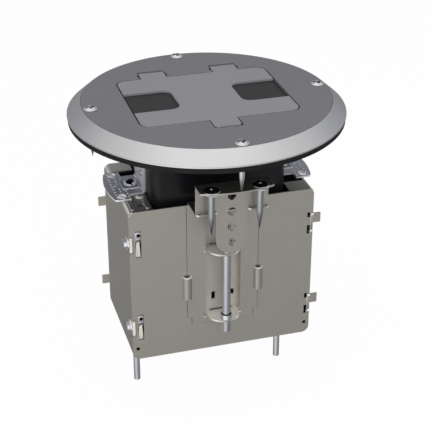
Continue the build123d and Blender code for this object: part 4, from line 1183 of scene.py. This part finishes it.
def lengthen_tab_slots():
    """Open the slots beside the tab strips to their full length."""
    slots = []
    for middle in TAB_MIDDLES:
        for low, high in ((5.4, 10.6), (-12.0, -3.2)):
            slots.append(((82.0, 84.3), (-54, -50), (middle + low, middle + high)))
    slotted("{}_wall", slots)


def add_tab_strips():
    """Pale folded strips over the locking tabs, each with a lip at either end painted near-white as
    a painted glint.
    """
    strips = []
    for middle in TAB_MIDDLES:
        strip = block("strip", (84.6, 87.2), (-53.9, -53.4), (middle - 7.8, middle + 7.8))
        ends = [middle + way * 8.7 for way in (-1, 1)]
        lips = [block("lip", (84.9, 87.6), (-54.3, -53.2), (z - 0.9, z + 0.9)) for z in ends]
        # Painted glint: the end lips take the near-white glint finish.
        for piece, finish in zip((strip, *lips), ("sheet", "glint", "glint")):
            bevelled(piece, 0.00022).data.materials.append(finish_named(finish))
            strips.append(piece)
    both(joined("strips", strips), "tab_strips_{}", ENDS, None, "galvanised_steel", "box", 50)


class FLOORBOX_OT_shell(bpy.types.Operator):
    """Walls, panels, channels, loops, device plate and divider of the sheet-steel box"""

    bl_idname = "floorbox.shell"
    bl_label = "Box shell"

    def execute(self, context):
        edge = sizes().sheet_edge
        walls = ("front_wall", "back_wall", "side_panel_left", "side_panel_right")
        for node in (*walls, "floor_panel", "device_plate", "divider"):
            softened(node, edge, "sheet", "galvanised_steel", "box")
        for side in ENDS:
            softened(f"rod_channel_{side}", edge, "channel", "galvanised_steel", "box")
        softened("seam_loops", edge / 6, "loop", "galvanised_steel", "box")
        lengthen_tab_slots()
        open_trough_edges()
        add_tab_strips()
        add_relief_lips()
        add_loop_lips()
        return {"FINISHED"}


WASHER_RADIUS = 6.5


def panel_screw_heights():
    """Middles of the two screws of a panel, in millimetres."""
    low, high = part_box("panel_screws")
    return (low.z / MM + WASHER_RADIUS, high.z / MM - WASHER_RADIUS)


def add_panel_screws():
    """Washer-faced hexagon heads with a slot, on a bright shank."""
    top = 4.0
    rim = [(6.3, 0), (WASHER_RADIUS, 0.25), (6.3, 0.9)]
    washer = turned("washer", [(0, 0), *rim, (4.4, 1.3), (0, 1.3)])
    hexagon = bevelled(rod("hexagon", 4.6, 1.1, top, sides=6), 0.0004)
    cut(hexagon, [block("slot", (-6, 6), (-0.6, 0.6), (top - 1.5, top + 1))])
    shank = turned("shank", [(0, -17), (1.9, -17), (2.4, -15.5), (2.4, 0.2), (0, 0.2)])
    screw = joined("panel_screw", [washer, hexagon, shank])
    smooth(screw, 32)
    turn = Matrix.Rotation(math.radians(25), 4, "X") @ Matrix.Rotation(math.radians(-90), 4, "Y")
    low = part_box("panel_screws")[0]
    moves = []
    for height in panel_screw_heights():
        move = shift(low.x / MM + top, low.y / MM + WASHER_RADIUS, height) @ turn
        moves += [move, HALF_TURN @ move]
    screws = repeated(screw, "panel_screws_hexagon", moves)
    dress(screws, "hexagon", "bright_zinc", "box", ("panel_screws",))


def add_panel_nuts():
    """Nut plates, cream tails and grey backs that show through the slots beside the screws."""
    looks = {
        "nut_plates": ("bright", "bright_zinc"),
        "clip_tails": ("clip", "clip_plastic"),
        "slot_backs": ("sheet", "galvanised_steel"),
    }
    groups = {name: [] for name in looks}
    wide = (-82.7, -76.2)
    for height in panel_screw_heights():
        plate = block("plate", wide, (-50.7, -48.6), (height + 1.8, height + 11.4))
        bevelled(plate, 0.0007, 3)
        stand = Matrix.Rotation(math.radians(90), 4, "X")
        bore = rod("bore", 1.75, -3, 3)
        cut(plate, [placed(bore, shift(-78.7, -49.6, height + 7.9) @ stand)])
        roll = bevelled(rod("roll", 2.3, -3.1, 3.1, sides=28), 0.0005)
        lie = Matrix.Rotation(math.radians(90), 4, "Y")
        placed(roll, shift(-79.5, -48.7, height + 3.9) @ lie)
        tail = block("tail", (-82.0, -77.0), (-50.9, -49.9), (height - 14.2, height + 0.9))
        edit_faces(tail, lambda normal: normal.z > 0.9)
        bpy.ops.transform.resize(value=(0.62, 1, 1))
        close_edit()
        bevelled(tail, 0.0004, 3)
        back = block("back", wide, (-50.9, -50.1), (height + 11.6, height + 15.5))
        bevelled(back, 0.0002)
        names = ("nut_plates", *looks)
        for name, piece in zip(names, (plate, roll, tail, back)):
            groups[name] += [piece, copied(piece, name, HALF_TURN)]
    for name, group in groups.items():
        piece = joined(f"panel_{name}", group)
        smooth(piece, 35)
        dress(piece, *looks[name], "box")


class FLOORBOX_OT_fasteners(bpy.types.Operator):
    """Hexagon screws of the side panels, their clips and nuts"""

    bl_idname = "floorbox.fasteners"
    bl_label = "Panel fasteners"

    def execute(self, context):
        softened("panel_clips", 0.0003, "clip", "clip_plastic", "box")
        add_panel_screws()
        add_panel_nuts()
        return {"FINISHED"}


def add_jack_contacts():
    """Eight spring contacts in each data jack."""
    low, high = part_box("data_jacks")
    middle_y = (low.y + high.y) / 2 / MM
    top = high.z / MM
    wires = []
    for jack in range(4):
        x = (jack - 1.5) * 16.0
        for wire in range(8):
            wire_x = x + (wire - 3.5) * 1.02
            spring = block("spring", (wire_x - 0.18, wire_x + 0.18), (-3.9, -3.5), (-8.8, -2.2))
            edit_faces(spring, lambda normal: normal.z > 0.9)
            bpy.ops.transform.translate(value=(0, 0.0026, 0))
            close_edit()
            wires.append(placed(spring, shift(0, middle_y, top)))
    contacts = joined("jack_contacts", wires)
    dress(contacts, "contact", "bright_zinc", "box")


class FLOORBOX_OT_outlets(bpy.types.Operator):
    """Power outlet, data jacks, their straps and screws"""

    bl_idname = "floorbox.outlets"
    bl_label = "Outlets"

    def execute(self, context):
        softened("power_receptacle", 0.0005, "outlet", "outlet_plastic", "box", segments=3)
        softened("data_frame", 0.0004, "black", "black_plastic", "box")
        softened("data_jacks", 0.0002, "jack", "jack_plastic", "box")
        softened("yokes", 0.00025, "zinc", "zinc_plate", "box")
        softened("device_screws", 0.0003, "bright", "bright_zinc", "box", segments=3)
        softened("ground_screw", 0.0003, "green", "ground_green", "box", segments=3)
        add_jack_contacts()
        return {"FINISHED"}


# Stage


VIEW_ANGLE = 20.72
CAMERA_SPOT = (-0.2728, -0.9548, 0.4230)
CAMERA_AIM = (0.0038, -0.0140, -0.0985)


def add_floor():
    """A round pale floor under the screws' tips."""
    clear_choice()
    bpy.ops.mesh.primitive_circle_add(
        vertices=96, radius=1.6, fill_type="NGON", location=(0, 0, cad_low.z - 0.0005)
    )
    floor = new_piece("floor")
    bpy.ops.object.transform_apply(location=True, rotation=True, scale=True)
    finish = Finish("Pale floor")
    matt = finish.node(
        "ShaderNodeBsdfDiffuse", None, {"Color": (0.88, 0.88, 0.87, 1), "Roughness": 0.0}
    )
    glow = finish.node("ShaderNodeEmission", None, {"Color": (1, 1, 1, 1), "Strength": 1.0})
    seen = finish.node("ShaderNodeLightPath", output=0)
    share = finish.node("ShaderNodeMixShader", None, {0: seen * 0.965, 1: matt, 2: glow})
    finish.node("ShaderNodeOutputMaterial", None, {"Surface": share})
    floor.data.materials.append(finish.material)
    floor.visible_glossy = False


def add_world():
    """White behind the object, and a soft studio gradient for what it reflects."""
    world = bpy.data.worlds.new("Studio")
    bpy.context.scene.world = world
    world.use_nodes = True
    finish = Finish.__new__(Finish)
    finish.tree = world.node_tree
    finish.tree.nodes.clear()
    way = finish.node("ShaderNodeTexCoord", output=0)
    side, back, rise = (finish.along(way, axis) for axis in range(3))
    key = 0.5 - 0.308 * side - 0.394 * back
    low = finish.ramp(
        key,
        (0.0, (0.165, 0.172, 0.18)),
        (0.30, (0.255, 0.258, 0.255)),
        (0.62, (0.335, 0.337, 0.33)),
        (0.76, (0.42, 0.42, 0.415)),
        (0.88, (0.75, 0.75, 0.75)),
        (0.96, (1.0, 1.0, 1.0)),
    )
    high = finish.ramp(
        rise,
        (0.10, (0.20, 0.215, 0.235)),
        (0.36, (0.25, 0.265, 0.29)),
        (0.60, (0.44, 0.445, 0.455)),
        (0.80, (0.58, 0.58, 0.58)),
        (0.95, (0.78, 0.777, 0.773)),
    )
    turn = (side * 1.2).share() * (1.0 - rise)
    high = finish.blend((turn * 0.12).at_least(0.0), high, (0.62, 0.63, 0.65))
    level = (rise * 3.0 + 0.4).share()
    mirrored = finish.blend(level, low, high)
    camera = finish.node("ShaderNodeLightPath", output=0)
    glossy = finish.node("ShaderNodeLightPath", output=3)
    through = finish.node("ShaderNodeLightPath", output=6)
    colour = finish.blend(glossy, (0.5, 0.5, 0.51), mirrored)
    colour = finish.blend((camera + through).at_most(1.0), colour, (1, 1, 1))
    mirror = (glossy - camera).at_least(0.0)
    dim = ((0.0 - rise) - 0.42).at_least(0.0)
    strength = 1.0 + mirror * (0.35 - 2.9 * dim)
    glow = finish.node("ShaderNodeBackground", None, {"Color": colour, "Strength": strength})
    finish.node("ShaderNodeOutputWorld", None, {"Surface": glow})


def aimed(thing, spot, aim):
    """Add a lamp or a camera at one spot that looks at another."""
    bpy.context.collection.objects.link(thing)
    thing.location = spot
    thing.rotation_euler = (Vector(aim) - Vector(spot)).to_track_quat("-Z", "Y").to_euler()
    return thing


def add_lamps():
    """Large soft lamps above, in front and at the sides."""
    lamps = (
        ("Top lamp", (-0.3, -0.5, 1.7), (0, 0, 0), 1.6, 11),
        ("Left lamp", (-1.6, -0.7, 0.6), (0, 0, -0.1), 1.2, 6),
        ("Front lamp", (0.4, -1.9, 0.5), (0, 0, -0.1), 1.4, 9),
        ("High front lamp", (-0.2, -1.4, 1.2), (0, 0, -0.1), 0.9, 5),
        ("Right lamp", (1.6, 0.2, 0.7), (0, 0, -0.05), 1.0, 4),
        ("Glint lamp", (-0.9, -1.6, 1.0), (0, 0, -0.05), 0.16, 1.0),
    )
    for name, spot, aim, size, power in lamps:
        light = bpy.data.lights.new(name, "AREA")
        light.shape = "DISK"
        light.size = size
        light.energy = power
        lamp = aimed(bpy.data.objects.new(name, light), spot, aim)
        lamp.visible_glossy = name == "Glint lamp"


def add_camera():
    """The photograph's viewpoint."""
    lens = bpy.data.cameras.new("Camera")
    lens.sensor_width = 36.0
    lens.lens = lens.sensor_width / 2 / math.tan(math.radians(VIEW_ANGLE / 2))
    lens.clip_start, lens.clip_end = 0.01, 20
    camera = bpy.data.objects.new("Camera", lens)
    bpy.context.scene.camera = aimed(camera, CAMERA_SPOT, CAMERA_AIM)


class FLOORBOX_OT_stage(bpy.types.Operator):
    """Pale floor, studio light and the camera"""

    bl_idname = "floorbox.stage"
    bl_label = "Stage"

    def execute(self, context):
        add_floor()
        add_world()
        add_lamps()
        add_camera()
        context.scene.view_settings.view_transform = "Standard"
        return {"FINISHED"}


class FLOORBOX_PT_panel(bpy.types.Panel):
    """Sizes, colours and pieces of the floor box"""

    bl_idname = "FLOORBOX_PT_panel"
    bl_label = "Floor box"
    bl_space_type = "VIEW_3D"
    bl_region_type = "UI"
    bl_category = "Floor box"

    def draw(self, context):
        for group in (context.scene.floor_box_sizes, context.scene.floor_box_colours):
            column = self.layout.column()
            for name in group.__annotations__:
                column.prop(group, name)
        for operator in OPERATORS:
            self.layout.operator(operator.bl_idname)


OPERATORS = (
    FLOORBOX_OT_cover,
    FLOORBOX_OT_lid,
    FLOORBOX_OT_neck,
    FLOORBOX_OT_ears,
    FLOORBOX_OT_levelling,
    FLOORBOX_OT_rods,
    FLOORBOX_OT_brackets,
    FLOORBOX_OT_shell,
    FLOORBOX_OT_fasteners,
    FLOORBOX_OT_outlets,
    FLOORBOX_OT_stage,
)
CLASSES = (FloorBoxSizes, FloorBoxColours, *OPERATORS, FLOORBOX_PT_panel)


def register():
    """Make the classes and the scene's settings known."""
    for item in CLASSES:
        bpy.utils.register_class(item)
    bpy.types.Scene.floor_box_sizes = bpy.props.PointerProperty(type=FloorBoxSizes)
    bpy.types.Scene.floor_box_colours = bpy.props.PointerProperty(type=FloorBoxColours)


def unregister():
    """Forget the scene's settings and the classes."""
    del bpy.types.Scene.floor_box_colours
    del bpy.types.Scene.floor_box_sizes
    for item in reversed(CLASSES):
        bpy.utils.unregister_class(item)


def main():
    """Build every piece in order."""
    register()
    bpy.ops.floorbox.cover()
    bpy.ops.floorbox.lid()
    bpy.ops.floorbox.neck()
    bpy.ops.floorbox.ears()
    bpy.ops.floorbox.levelling()
    bpy.ops.floorbox.rods()
    bpy.ops.floorbox.brackets()
    bpy.ops.floorbox.shell()
    bpy.ops.floorbox.fasteners()
    bpy.ops.floorbox.outlets()
    bpy.ops.floorbox.stage()


if __name__ == "__main__":
    main()
